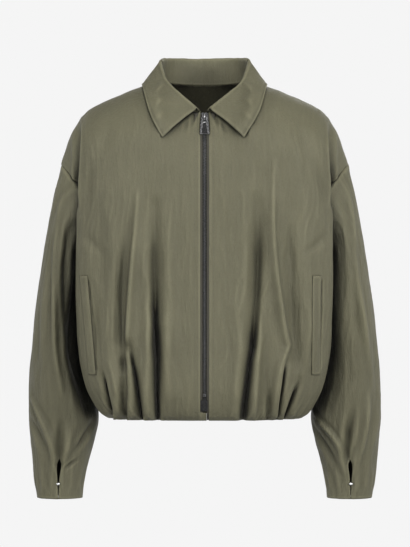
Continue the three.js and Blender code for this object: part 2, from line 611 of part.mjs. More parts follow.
// The profile from the neck seam up the stand, over the roll and down the fall to the outer edge.
function collarProfile(station) {
  const front = station > 0.5;
  const x = neckX(front, neckAngle(station));
  const neck = topEdge(front, Math.min(x, NECK_HALF - 1e-6));
  const seam = new THREE.Vector3(x, neck.y, neck.z);
  const roll = new THREE.Vector3(collarAt.rollX(station), collarAt.rollY(station), collarAt.rollZ(station));
  const edge = collarEdge(station);
  const outward = edge.clone().sub(seam).setZ(0).normalize();
  const r = Math.min(COLLAR_ROLL, 0.35 * roll.distanceTo(seam));
  const side = (out, drop) => roll.clone().addScaledVector(outward, out).add(new THREE.Vector3(0, 0, -drop));
  const inner = side(-r, r * 1.4);
  const outer = side(r, r * 1.2);
  const fall = (t) => {
    const bulge = COLLAR_BULGE * Math.sin(Math.PI * t);
    return clearOfBody(outer.clone().lerp(edge, t).addScaledVector(outward, bulge), front);
  };
  const stand = [seam, seam.clone().lerp(inner, 0.5), inner];
  const bend = [side(-0.5 * r, 0.3 * r), side(0.5 * r, 0.3 * r)];
  return [...stand, ...bend, outer, fall(0.25), fall(0.5), fall(0.75), edge];
}
function collarNormal(station) {
  const step = 0.004;
  const from = clamp(station, step, 1 - step);
  const along = collarProfile(from + step)[0].sub(collarProfile(from - step)[0]);
  const line = collarProfile(station);
  return along.cross(line[2].sub(line[0])).normalize().multiplyScalar(-1);
}
// The neck seam's mitre at a share across a panel.
function neckMitre(front, side, across) {
  const edge = front ? FRONT_EDGE : 0;
  const x = sectionPoint(front, across, CHEST_Z).x;
  const angle = Math.asin(clamp((x - edge) / (NECK_HALF - edge), 0, 1)) / Math.PI;
  const stand = collarNormal(front ? 1 - angle : angle);
  const body = (front ? FRONTS : BACKS)[1].normal(across, 1.93);
  const n = mitre(body, stand);
  return new THREE.Vector3(side * n.x, n.y, n.z);
}
function collar() {
  const stations = [...spread(1, 0.5, FRONT_NECK_STEPS), ...spread(0.5, 0, BACK_NECK_STEPS).slice(1)];
  const right = stations.map((station) => ({ side: -1, station }));
  const ring = [...right, ...right.slice(0, -1).reverse().map(({ station }) => ({ side: 1, station }))];
  const lines = ring.map(({ side, station }) =>
    collarProfile(station).map((p) => new THREE.Vector3(side * p.x, p.y, p.z)));
  const rows = lines[0].map((_, t) => ({
    points: lines.map((line, i) => {
      const along = lines[Math.min(i + 1, lines.length - 1)][t].clone().sub(lines[Math.max(i - 1, 0)][t]);
      const up = line[Math.min(t + 1, line.length - 1)].clone().sub(line[Math.max(t - 1, 0)]);
      return { p: line[t].clone(), n: along.cross(up).normalize(), share: i };
    }),
  }));
  rows[0].points.forEach((q, i) => {
    const { side, station } = ring[i];
    const front = station > 0.5;
    q.n = neckMitre(front, side, shareOf(front, neckX(front, neckAngle(station))));
    trim(q, rows[1].points[i], q.n, 0.2);
  });
  return mesh("collar", clothWall(rows));
}

function frontPanel(name, side) {
  const shares = acrossShares(true, 9);
  const rows = ROWS_UP.map((up, i) => ({
    points: halfRow(true, side, i < HEM_ROWS.length ? finer(shares, 0.33) : shares, up),
  }));
  if (side < 0) {
    rows.slice(0, ROWS_UP.findIndex((up) => up > UNDERLAP.belowUp)).forEach(({ points }) => {
      points[0].p.x += UNDERLAP.reach;
    });
  }
  return mesh(name, clothWall(rows));
}
function backPanel() {
  const half = acrossShares(false, 9);
  const rows = ROWS_UP.map((up, i) => {
    const shares = i < HEM_ROWS.length ? finer(half, 0) : half;
    const right = halfRow(false, -1, shares, up).map((q) => ({ ...q, share: -q.share })).reverse();
    return { points: [...right, ...halfRow(false, 1, shares, up).slice(1)] };
  });
  return mesh("back", clothWall(rows));
}

// Welts, zip and other small pieces

// A place on a front by its distance from the centre and its height, moved out by a distance.
function onFront(side, x, z, out) {
  const top = topEdge(true, x).z;
  const share = clamp((z - UNDERARM_Z) / (top - UNDERARM_Z), 0, 1);
  const low = (z - HEM_Z) / (UNDERARM_Z - HEM_Z);
  const up = z <= UNDERARM_Z ? low : 1 + Math.acos(1 - 2 * share) / Math.PI;
  const across = shareOf(true, Math.max(x, FRONT_EDGE), z);
  const n = FRONTS[side].normal(across, up);
  const p = FRONTS[side].point(across, up);
  if (x < FRONT_EDGE) p.x = side * x;
  return { p: p.addScaledVector(n, out), n };
}
function welt({ name, side, topIn, topOut, lowIn, lowOut }) {
  const out = CLOTH / 2 + SEAM + WELT.thick / 2;
  const rows = spread(0, 1, WELT.rows).map((t) => ({
    points: spread(0, 1, WELT.columns).map((share) => {
      const x = mix(mix(topIn, lowIn, t), mix(topOut, lowOut, t), share);
      return { ...onFront(side, x, mix(WELT_Z.top, WELT_Z.low, t), out), share };
    }),
  }));
  return mesh(name, clothWall(rows, WELT.thick));
}

// Half a front's wall, the seam gap and half a tape in from the front's middle surface.
const ZIP_DEPTH = -(CLOTH / 2 + SEAM + ZIP.tapeThick / 2);
const EDGE_ROWS = ROWS_UP.map((up) => FRONTS[1].point(0, up).z);
// A place in the plane of the tapes, on the straight line between two rows of the front.
function zipPoint(x, z) {
  const side = x < 0 ? -1 : 1;
  const i = clamp(EDGE_ROWS.findIndex((rowZ) => rowZ > z) - 1, 0, EDGE_ROWS.length - 2);
  const t = (z - EDGE_ROWS[i]) / (EDGE_ROWS[i + 1] - EDGE_ROWS[i]);
  const low = onFront(side, Math.abs(x), EDGE_ROWS[i] + 0.001, ZIP_DEPTH);
  const high = onFront(side, Math.abs(x), EDGE_ROWS[i + 1] - 0.001, ZIP_DEPTH);
  return { p: low.p.lerp(high.p, t), n: low.n.lerp(high.n, t).normalize() };
}
// A strip of the zip between two distances from the centre.
function zipStrip(distances, topZ, lowZ, thick) {
  const between = EDGE_ROWS.filter((z) => z < topZ - 1 && z > lowZ + 1).reverse();
  const rows = [topZ, ...between, lowZ].map((z) => ({
    points: distances.map((x, share) => {
      const q = zipPoint(x, z);
      if (Math.abs(x) < ZIP.tapeFrom) q.n.setX(0).normalize();
      return { ...q, share };
    }),
  }));
  return clothWall(rows, thick);
}
function zipTape(name, side) {
  const distances = spread(ZIP.tapeFrom, ZIP.tapeTo, 3).map((x) => side * x);
  return mesh(name, zipStrip(distances, ZIP.topZ, ZIP.lowZ, ZIP.tapeThick), cloth(TAPE));
}
const chainLine = [-ZIP.chainHalf, ZIP.chainHalf];

// Solids joined into one with manifold-3d.
function joined(...geometries) {
  const solids = geometries.map((g) => {
    const bare = new THREE.BufferGeometry().setAttribute("position", g.getAttribute("position"));
    const merged = mergeVertices(bare, 1e-4);
    const triVerts = new Uint32Array(merged.getIndex().array);
    return new wasm.Manifold(new wasm.Mesh({
      numProp: 3,
      vertProperties: merged.getAttribute("position").array,
      triVerts,
    }));
  });
  const whole = wasm.Manifold.union(solids).getMesh();
  return new THREE.BufferGeometry()
    .setAttribute("position", new THREE.BufferAttribute(whole.vertProperties, 3))
    .setIndex(new THREE.BufferAttribute(whole.triVerts, 1));
}
function block(x0, x1, y0, y1, z0, z1) {
  return new THREE.BoxGeometry(x1 - x0, y1 - y0, z1 - z0)
    .toNonIndexed()
    .translate((x0 + x1) / 2, (y0 + y1) / 2, (z0 + z1) / 2);
}
// The slider's own frame: x across, y up along the zip, z out of the front.
function sliderFrame() {
  const across = new THREE.Vector3(1, 0, 0);
  const p = zipPoint(0, SLIDER_Z).p.setX(0);
  const up = zipPoint(0, SLIDER_Z + 3).p.setX(0).sub(p).normalize();
  const out = across.clone().cross(up);
  return new THREE.Matrix4().makeBasis(across, up, out).setPosition(p);
}
function slider() {
  const boxes = SLIDER.map((b) => block(b.x0, b.x1, b.up0, b.up1, b.out0, b.out1));
  const arch = new THREE.Shape();
  arch.absellipse(0, 0, CROWN.outLong, CROWN.outHigh, 0, Math.PI, false);
  arch.lineTo(-CROWN.inLong, 0);
  arch.absellipse(0, 0, CROWN.inLong, CROWN.inHigh, Math.PI, 0, true);
  const crown = new THREE.ExtrudeGeometry(arch, { depth: CROWN.wide, bevelEnabled: false, curveSegments: 12 })
    .translate(0, 0, -CROWN.wide / 2)
    .applyMatrix4(new THREE.Matrix4().makeBasis(
      new THREE.Vector3(0, 1, 0), new THREE.Vector3(0, 0, 1), new THREE.Vector3(1, 0, 0)))
    .translate(0, CROWN.mid, CROWN.from);
  return mesh("slider", joined(...boxes, crown).applyMatrix4(sliderFrame()), metal);
}
// The pull tab hangs from a bar under the crown and rests on the front.
function pullTab() {
  const leftSide = PULL_OUTLINE.map(({ half, down }) => new THREE.Vector2(-half, -down));
  const rightSide = [...leftSide].reverse().map((q) => new THREE.Vector2(-q.x, q.y));
  const outline = new THREE.Shape([...leftSide, ...rightSide]);
  const slot = [[-1, PULL.bar], [1, PULL.bar], [1, PULL.slot], [-1, PULL.slot]];
  outline.holes.push(new THREE.Path(slot.map(([s, down]) => new THREE.Vector2(s * PULL.slotHalf, -down))));
  const recess = [
    { x: -RECESS.topHalf, down: PULL.slot + PULL.rim, lap: -RECESS.lap },
    { x: RECESS.topHalf, down: PULL.slot + PULL.rim, lap: -RECESS.lap },
    { x: RECESS.lowHalf, down: PULL.long - RECESS.toEnd, lap: RECESS.lap },
    { x: -RECESS.lowHalf, down: PULL.long - RECESS.toEnd, lap: RECESS.lap },
  ];
  outline.holes.push(new THREE.Path(recess.map(({ x, down }) => new THREE.Vector2(x, -down))));
  const frame = new THREE.ExtrudeGeometry(outline, { depth: PULL.thick, bevelEnabled: false });
  const webShape = new THREE.Shape(recess.map(({ x, down, lap }) =>
    new THREE.Vector2(x * RECESS.widen, -(down + lap))));
  const web = new THREE.ExtrudeGeometry(webShape, { depth: PULL.web, bevelEnabled: false });
  frame.translate(0, 0, -PULL.thick / 2);
  web.translate(0, 0, -PULL.web / 2);
  const tab = joined(frame, web)
    .applyMatrix4(new THREE.Matrix4().makeRotationX(radians(PULL.lean)))
    .translate(0, PULL_AXIS.up, PULL_AXIS.out)
    .applyMatrix4(sliderFrame());
  return mesh("pull_tab", tab, metal);
}
function cuffHook(name, side) {
  const middle = armhole(true, 0.5).z;
  const down = (SLIT.hookZ - middle) / (CUFF_Z - middle);
  const p = SLEEVES[side].point(SLIT.turn, down);
  const n = SLEEVES[side].normal(SLIT.turn, down).setX(0).normalize();
  const across = new THREE.Vector3(1, 0, 0);
  const up = n.clone().cross(across);
  p.addScaledVector(n, CLOTH / 2 + SEAM + HOOK.thick / 2);
  const plate = new THREE.CylinderGeometry(1, 1, HOOK.thick, 16)
    .rotateX(Math.PI / 2)
    .scale(HOOK.wide / 2, HOOK.high / 2, 1)
    .applyMatrix4(new THREE.Matrix4().makeBasis(across, up, n).setPosition(p));
  return mesh(name, plate, metal);
}

const root = new THREE.Group();
root.add(
  frontPanel("front_right", -1),
  frontPanel("front_left", 1),
  backPanel(),
  sleeve("sleeve_right", -1),
  sleeve("sleeve_left", 1),
  collar(),
  ...WELTS.map(welt),
  zipTape("zip_tape_right", -1),
  zipTape("zip_tape_left", 1),
  mesh("zip_chain", zipStrip(chainLine, ZIP.chainTopZ, ZIP.chainLowZ, ZIP.chainThick), metal),
  mesh("zip_box", zipStrip(chainLine, ZIP.boxTopZ, ZIP.lowZ, ZIP.boxThick), metal),
  slider(),
  pullTab(),
  cuffHook("cuff_hook_right", -1),
  cuffHook("cuff_hook_left", 1),
);
export default root;
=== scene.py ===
import math

import bmesh
import bpy
import numpy as np
from mathutils import Matrix, Vector
from mathutils.bvhtree import BVHTree


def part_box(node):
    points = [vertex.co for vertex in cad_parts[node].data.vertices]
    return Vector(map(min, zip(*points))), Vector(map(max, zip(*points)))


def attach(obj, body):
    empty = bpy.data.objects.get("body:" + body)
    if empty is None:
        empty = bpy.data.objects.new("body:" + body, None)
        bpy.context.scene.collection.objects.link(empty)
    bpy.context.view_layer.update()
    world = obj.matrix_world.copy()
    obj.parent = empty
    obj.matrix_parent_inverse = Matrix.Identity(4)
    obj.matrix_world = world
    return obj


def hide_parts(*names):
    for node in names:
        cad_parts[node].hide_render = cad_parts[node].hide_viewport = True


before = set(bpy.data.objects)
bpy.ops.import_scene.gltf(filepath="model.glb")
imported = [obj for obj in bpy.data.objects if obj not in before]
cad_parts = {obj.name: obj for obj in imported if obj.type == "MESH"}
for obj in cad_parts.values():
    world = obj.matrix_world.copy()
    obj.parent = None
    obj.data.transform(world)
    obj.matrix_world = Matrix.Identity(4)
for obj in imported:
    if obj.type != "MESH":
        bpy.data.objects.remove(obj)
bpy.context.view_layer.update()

MM = 0.001
BODY = "jacket"
CLOTH = 1.0  # thickness of a shell
CLEAR = 0.45  # how far a shell's edge stays from a seam
HEM_Z = -536.0
UNDERARM_Z = -245.0
CHEST_Z = -60.0
CUFF_Z = -673.0
NECK_HALF = 72.0
NECK_SIDE_Z = 20.0
NECK_FRONT = {"y": -86.0, "z": -36.0}
NECK_BACK = {"y": 66.0, "z": 16.0}
FRONT_EDGE = 7.0
SECTION_POWER = 0.83
ROLL_POWER = 0.5
FRONT_ROLL_POWER = 0.95
SEAM_BLEND = 58.0

# Horizontal sections of the torso, as in the CAD.
TORSO_COLUMNS = ("z", "half", "half_back", "front", "back", "corner_front", "corner_back", "side")
TORSO = [
    (-536, 157, 156, 107, 105, 20, 20, 156),
    (-528, 169, 166, 115, 112, 22, 22, 167),
    (-511, 181, 176, 122, 118, 25, 25, 179),
    (-480, 195, 186, 127, 122, 29, 30, 192),
    (-430, 204, 191, 128, 123, 36, 38, 201),
    (-360, 208, 188, 126, 121, 46, 46, 194),
    (-300, 209, 181, 124, 119, 56, 56, 180),
    (-245, 208, 176, 122, 117, 62, 66, 165),
    (-200, 207, 187, 121, 115, 63, 79, 165),
    (-150, 205, 197, 119, 113, 64, 76, 165),
    (-60, 204, 204, 117, 108, 64, 66, 165),
]
SHOULDER_COLUMNS = ("x", "z")
SHOULDER = [(72, 20), (100, 10), (136, -4), (168, -18), (192, -31.5), (204, -43)]
ARMHOLE = {
    "centre": (201.5, 3.5, -182.5), "along": (36.5, 1.5, 62.5), "front": 53.0, "back": 59.0, "bow": 12.0,
}
RETURN_COLUMNS = ("share", "fold_x", "fold_y", "fold_z", "arm_x", "arm_y", "arm_z")
RETURN = [
    (0, 0, 15, 0, 0, 90, 0),
    (0.25, 0, 14, 0, -22, 30, 0),
    (0.5, 0, 14, -4, -16, 16, -12),
    (0.7, -3, 22, -10, 6, 18, -42),
    (0.85, 2, 24, -22, 20, 10, -60),
    (1, 35, 0, -55, 22, 0, -62),
]
SLEEVE_COLUMNS = ("z", "outer", "inner", "mid", "deep")
SLEEVE = [
    (-673, 279, 204, 46, 34),
    (-645, 283, 201, 48, 39),
    (-610, 287, 193, 51, 49),
    (-575, 291, 184, 52, 58),
    (-540, 294, 178, 52, 63),
    (-505, 294, 184, 50, 66),
    (-470, 292, 195, 48, 68),
    (-426, 288, 204, 44, 71),
    (-360, 281, 203, 35, 73),
    (-300, 272, 201, 25, 69),
    (-245, 262.5, 198, 12, 58),
    (-180, 250, 190, 6, 50),
    (-120, 238, 180, 5, 48),
]
COLLAR_COLUMNS = ("station", "roll_x", "roll_y", "roll_z", "edge_x", "edge_z")
COLLAR = [
    (0, 0, 74, 61.5, 0, -8),
    (0.25, 55, 57, 61, 74, 0),
    (0.5, 73, 8, 54, 98, 8),
    (0.63, 69, -24, 33, 97, -2),
    (0.76, 60, -47, 14, 89, -33),
    (0.88, 38, -74, -9, 80, -57),
    (1, 12.5, -90, -32, 64.5, -85),
]
COLLAR_ROLL = 3.2
COLLAR_LIFT = 5.0
COLLAR_BULGE = 2.5

# Folds of the body panels. A path runs down through three points (x from the centre, z) of the
# front or back view. heights are at its top, middle and low end: below 0 is a trough. pinch draws
# the cloth in from both sides, so that a deep trough closes.
FOLD_COLUMNS = (
    "side", "x0", "z0", "x1", "z1", "x2", "z2", "wide", "high0", "high1", "high2", "pinch", "lean",
)
FRONT_FOLDS = [
    (-1, 79, -180, 77, -290, 76, -425, 10.5, -5, -14, -9, 1, 3),
    (-1, 75.5, -335, 74.5, -425, 74, -535, 9, -3, -28, -17, 4.5, 4),
    (-1, 80, -480, 78.5, -520, 77, -560, 3.4, -3, -13, -15, 1.5, 1),
    (-1, 71.5, -480, 70.5, -520, 69.5, -560, 3.4, -3, -13, -15, 1.5, 1),
    (-1, 88, -290, 92, -400, 90, -560, 6, 1, 4, 4, 0, 0),
    (-1, 106, -165, 116.5, -330, 122, -412, 5.5, 3, 11, 10, -1.5, 3),
    (-1, 125, -425, 121, -470, 118, -560, 6, 6, 8, 6, 0, 2),
    (-1, 120, -400, 111, -456, 98, -560, 6, -2, -15, -17, 4, 3),
    (-1, 120, -210, 132, -340, 130, -452, 10, -2, -9, -10, 1, 1),
    (-1, 130, -440, 126, -475, 120, -530, 7, -6, -7, -3, 0, 0),
    (-1, 166, -450, 157, -490, 145, -560, 5, -2, -15, -17, 4, 3),
    (-1, 150, -440, 142, -480, 134, -550, 7, 1, 5, 6, 0, 1),
    (-1, 134, -470, 130, -505, 126, -555, 5, -0.5, -6, -9, 2, 1),
    (-1, 60, -300, 58, -400, 54, -510, 12, 1, 3.5, 2, 0, 0),
    (-1, 40, -200, 38, -340, 36, -470, 14, -0.5, -2.2, -0.5, 0, 0),
    (-1, 172, -330, 176, -400, 166, -470, 10, -1, -5, -1, 0, 0),
    (-1, 160, -200, 165, -280, 160, -360, 11, -0.5, -3.5, -0.5, 0, 0),
    (-1, 92, -90, 98, -170, 100, -250, 13, -0.5, -2.5, -0.5, 0, 0),
    (-1, 150, -120, 152, -200, 146, -280, 12, 0.5, 3.0, 0.5, 0, 0),
    (-1, 182, -120, 188, -165, 196, -215, 7, -1.5, -4, -1, 0, 0),
    (-1, 150, -45, 160, -90, 176, -140, 10, -0.5, -2.6, -0.5, 0, 0),
    (-1, 188, -230, 180, -250, 158, -275, 9, -0.5, -2.5, -0.5, 0, 0),
    (1, 84, -175, 83, -285, 74, -430, 10.5, -5, -15, -12, 1.5, 3),
    (1, 76, -375, 69, -450, 58, -560, 8.5, -2, -21, -24, 4, 4),
    (-1, 17, -40, 19, -52, 22, -68, 2.6, -1, -2.6, -0.5, 0, 0),
    (-1, 27, -50, 29, -60, 31, -76, 3, -0.5, -2.2, -0.4, 0, 0),
    (1, 18, -42, 20, -54, 23, -70, 2.8, -1, -2.6, -0.5, 0, 0),
    (1, 27, -52, 30, -62, 33, -80, 3.2, -0.5, -2.2, -0.4, 0, 0),
    (1, 92, -290, 86, -420, 76, -560, 6, 1, 5, 6, 0, 2),
    (1, 66, -450, 61, -490, 53, -560, 4, -0.5, -5, -7, 0.5, 1),
    (1, 112, -120, 116.5, -330, 131, -415, 5.5, 2.5, 10, 9, -1.5, 3),
    (1, 134, -412, 121, -450, 116, -560, 6, 6, 9, 6, 0, 2),
    (1, 128, -435, 122, -480, 111, -560, 5, -4, -14, -16, 3.5, 3),
    (1, 153, -470, 140, -506, 124, -560, 5, -4, -15, -15, 3, 3),
    (1, 104, -480, 103, -510, 100, -560, 4.5, -1, -6, -8, 2, 1),
    (1, 134, -230, 140, -350, 147, -450, 10, -2, -8, -5, 1, 1),
    (1, 100, -330, 99, -420, 92, -520, 9, -1, -5, -2, 0, 0),
    (1, 142, -150, 138, -230, 146, -320, 13, -1, -4, -1, 0, 0),
    (1, 166, -300, 168, -390, 158, -470, 10, 1, 5, 1, 0, 0),
    (1, 178, -120, 190, -160, 197, -215, 7, -1.5, -4, -1, 0, 0),
    (1, 148, -50, 162, -95, 180, -150, 10, -0.5, -2.6, -0.5, 0, 0),
    (1, 190, -225, 182, -250, 160, -270, 9, -0.5, -2.8, -0.5, 0, 0),
    (1, 52, -280, 50, -380, 47, -500, 12, 0.5, 3.0, 1.5, 0, 0),
    (1, 34, -220, 33, -360, 32, -480, 13, -0.5, -2.2, -0.5, 0, 0),
    (1, 88, -80, 92, -150, 90, -230, 13, -0.5, -2.4, -0.5, 0, 0),
]
BACK_FOLDS = [
    (-1, 92, -230, 84, -400, 74, -548, 10, -1.5, -7, -12, 2, 2),
    (-1, 138, -200, 130, -360, 118, -545, 12, 2, 5, 6, 0, 2),
    (-1, 30, -330, 26, -430, 30, -548, 9, -1, -5, -9, 1.5, 2),
    (-1, 150, -180, 128, -160, 96, -150, 11, -1, -2.5, -0.5, 0, 2),
    (-1, 152, -470, 146, -500, 138, -550, 5, -1, -7, -10, 2, 2),
    (-1, 55, -420, 52, -470, 50, -548, 6, -0.5, -4, -7, 1, 2),
    (-1, 172, -215, 150, -240, 120, -262, 9, -1, -3, -0.5, 0, 2),
    (-1, 108, -430, 100, -480, 98, -548, 5, -0.5, -4, -8, 1.2, 2),
    (1, 64, -260, 60, -400, 52, -548, 10, -1.5, -6, -11, 2, 2),
    (1, 112, -210, 104, -380, 98, -545, 12, 2, 5, 6, 0, 2),
    (1, 148, -300, 142, -430, 130, -548, 9, -1.5, -6, -10, 2, 2),
    (1, 156, -175, 130, -158, 102, -140, 11, -1, -2.5, -0.5, 0, 2),
    (1, 22, -440, 18, -490, 20, -548, 5, -0.5, -4, -7, 1, 2),
    (1, 84, -450, 80, -500, 76, -548, 5, -0.5, -5, -8, 1.2, 2),
    (1, 170, -212, 146, -246, 112, -268, 9, -1, -3, -0.5, 0, 2),
    (1, 120, -460, 116, -500, 110, -548, 5, -0.5, -4, -7, 1, 2),
]
# Folds of the sleeves: the path's points are angles round the arm, 0 outside and 90 in front.
SLEEVE_FOLD_COLUMNS = ("side", "t0", "z0", "t1", "z1", "t2", "z2", "wide", "high0", "high1", "high2")
SLEEVE_FOLDS = [
    (-1, 70, -290, 89, -400, 95, -500, 6, 2, 6.5, 2),
    (-1, 56, -250, 68, -350, 76, -460, 8, -0.5, -5, -1),
    (-1, 102, -215, 106, -300, 118, -400, 10, -2, -8, -3),
    (-1, 150, -260, 142, -400, 146, -530, 17, -6, -15, -7),
    (-1, 40, -330, 44, -420, 52, -500, 9, -0.5, -3.5, -0.5),
    (-1, 28, -500, 52, -535, 79, -622, 5.5, 3, 7, 2),
    (-1, 22, -535, 46, -568, 66, -612, 8, -2, -6.5, -1.5),
    (-1, 90, -535, 88, -570, 90, -618, 6.5, -1.5, -8, -4),
    (-1, 110, -545, 104, -585, 97, -622, 6, 1.5, 4.5, 1),
    (-1, 152, -540, 134, -575, 116, -600, 7, -3, -7, -1),
    (-1, 134, -603, 118, -612, 101, -626, 4, -1, -4.5, -1),
    (-1, 48, -150, 40, -190, 34, -240, 9, -0.5, -2.5, -0.5),
    (-1, 74, -160, 70, -215, 78, -270, 8, -0.5, -2.5, -0.5),
    (-1, 62, -190, 66, -250, 72, -320, 6, 0.5, 2.5, 0.5),
    (1, 44, -150, 58, -215, 70, -290, 8, 1.5, 4, 1.5),
    (1, 70, -280, 64, -374, 50, -470, 7, 1, 5.5, 1.5),
    (1, 124, -205, 130, -250, 136, -300, 8, -0.5, -2, -0.5),
    (1, 134, -250, 132, -370, 138, -480, 22, 3, 9, 3),
    (1, 86, -330, 82, -400, 84, -490, 10, -0.5, -3, -0.5),
    (1, 36, -380, 32, -450, 40, -520, 8, -0.5, -3, -0.5),
    (1, 172, -518, 130, -554, 104, -622, 5.5, 3, 7.5, 2),
    (1, 168, -548, 136, -590, 112, -640, 8, -2, -7, -1.5),
    (1, 80, -515, 90, -565, 97, -614, 7, -1.5, -10, -6),
    (1, 57, -500, 60, -555, 74, -618, 5, 3, 8, 1.5),
    (1, 40, -500, 42, -550, 52, -600, 8, -1, -4.5, -1),
    (1, 78, -575, 82, -595, 88, -616, 4, -1, -3.5, -2),
    (1, 60, -150, 66, -190, 78, -250, 8, -0.5, -2.5, -0.5),
    (0, 235, -250, 232, -400, 240, -560, 14, -1, -5, -1),
    (0, 285, -280, 290, -450, 284, -620, 13, 1, 4.5, 1),
    (0, 330, -380, 322, -500, 312, -640, 11, -1, -4.5, -1),
    (0, 262, -470, 256, -560, 262, -640, 9, -1, -4, -1.5),
    (0, 206, -430, 214, -520, 222, -610, 9, -1, -4.5, -1.5),
    (0, 305, -560, 300, -600, 294, -650, 6, 1, 3.5, 1),
    (0, 240, -570, 244, -605, 250, -650, 6, 1, 3, 1),
    (0, 345, -210, 330, -300, 322, -380, 10, -0.5, -3, -0.5),
]
# Gathers of the elastic hem, in millimetres along it. clear is the flat part beside the zip.
GATHER = {"deep": 2.6, "rise": 52.0, "long": 17.0, "short": 9.5, "clear_front": 60.0}

ZIP = {
    "top": -40.0, "teeth_top": -49.0, "teeth_low": -490.0, "tape_low": -535.4,
    "tape_from": 3.4, "tape_to": 16.4, "tape_thick": 0.8, "pitch": 2.6, "sunk": 1.9,
}
# Rows of stitches beside the zip, as distances from each front's own edge.
ZIP_STITCHES = {-1: (4.2, 8.8), 1: (1.6, 7.4)}
ZIP_STITCH_Z = (-524, -50)
SEAM_STITCH = 3.6
COLLAR_STITCH = 6.2
UNDERLAP = {"reach": 10.2, "below": -522.5}
WELTS = [
    {"name": "welt_right", "side": -1, "top": (188, 202), "low": (174.5, 187.5)},
    {"name": "welt_left", "side": 1, "top": (173.5, 188), "low": (172, 186)},
]
WELT_Z = (-303.0, -463.0)
SLIT = {"turn": 90.0, "top": -606.0, "hook": -647.0}


def clamp(x, low, high):
    return np.minimum(high, np.maximum(low, x))


def mix(a, b, t):
    return a + (b - a) * t


def smooth(t):
    s = clamp(t, 0, 1)
    return s * s * (3 - 2 * s)


def curve(names, rows, key, name):
    """A smooth curve through one column of a table, by the values of its key column."""
    ordered = sorted(rows, key=lambda row: row[names.index(key)])
    x = np.array([row[names.index(key)] for row in ordered], float)
    y = np.array([row[names.index(name)] for row in ordered], float)
    before = np.maximum(np.arange(len(x)) - 1, 0)
    after = np.minimum(np.arange(len(x)) + 1, len(x) - 1)
    slope = (y[after] - y[before]) / (x[after] - x[before])

    def at(value):
        v = clamp(np.asarray(value, float), x[0], x[-1])
        i = clamp(np.searchsorted(x, v, side="right") - 1, 0, len(x) - 2)
        h = x[i + 1] - x[i]
        t = (v - x[i]) / h
        s = 1 - t
        low = s * s * (1 + 2 * t) * y[i] + s * s * t * h * slope[i]
        return low + t * t * (1 + 2 * s) * y[i + 1] - t * t * s * h * slope[i + 1]

    return at


def curves(names, rows, key):
    return {name: curve(names, rows, key, name) for name in names if name != key}


torso = curves(TORSO_COLUMNS, TORSO, "z")
shoulder_z = curve(SHOULDER_COLUMNS, SHOULDER, "x", "z")
returning = curves(RETURN_COLUMNS, RETURN, "share")
sleeve_at = curves(SLEEVE_COLUMNS, SLEEVE, "z")
collar_at = curves(COLLAR_COLUMNS, COLLAR, "station")


def hermite(a, b, ta, tb, t):
    s = 1 - t
    return s * s * (1 + 2 * t) * a + t * t * (1 + 2 * s) * b + s * s * t * ta - t * t * s * tb


def noise(u, v, seed):
    """Smooth random heights from -1 to 1 over a plane, with a feature size of about 1."""
    lattice = np.random.default_rng(seed).uniform(-1, 1, (64, 64))
    iu = np.floor(u).astype(int)
    iv = np.floor(v).astype(int)
    fu = smooth(u - iu)
    fv = smooth(v - iv)
    a = lattice[iu % 64, iv % 64]
    b = lattice[(iu + 1) % 64, iv % 64]
    c = lattice[iu % 64, (iv + 1) % 64]
    d = lattice[(iu + 1) % 64, (iv + 1) % 64]
    return mix(mix(a, b, fu), mix(c, d, fu), fv)


def top_edge(front, x):
    """y and z of the neck and shoulder line at a distance x from the centre."""
    neck = NECK_FRONT if front else NECK_BACK
    round_ = np.sqrt(np.maximum(0, 1 - (x / NECK_HALF) ** 2))
    z = np.where(x >= NECK_HALF, shoulder_z(x), NECK_SIDE_Z + (neck["z"] - NECK_SIDE_Z) * round_**1.2)
    return neck["y"] * round_, z


def armhole(front, share):
    """The armhole seam from the underarm, share 0, to the top of the sleeve, share 1."""
    cx, cy, cz = ARMHOLE["centre"]
    ax, ay, az = ARMHOLE["along"]
    c = 2 * share - 1
    s = np.sqrt(np.maximum(0, 1 - c * c))
    wide = np.where(front, -ARMHOLE["front"], ARMHOLE["back"])
    return cx + ax * c - ARMHOLE["bow"] * s * s, cy + ay * c + wide * s, cz + az * c


def section(front, c, z):
    """The torso's section at height z, at a share c of the way from the centre to the fold."""
    edge = FRONT_EDGE if front else 0.0
    half = torso["half" if front else "half_back"](z)
    depth = torso["front" if front else "back"](z)
    corner = torso["corner_front" if front else "corner_back"](z)
    turn = c * math.pi / 2
    x = edge + (half - edge) * np.sin(turn) ** SECTION_POWER
    y = corner + (depth - corner) * np.maximum(0, np.cos(turn)) ** SECTION_POWER
    return x, -y if front else y


def share_of(front, x, z=CHEST_Z):
    edge = FRONT_EDGE if front else 0.0
    part = (x - edge) / (torso["half" if front else "half_back"](z) - edge)
    return (2 / math.pi) * np.arcsin(clamp(part, 0, 1) ** (1 / SECTION_POWER))


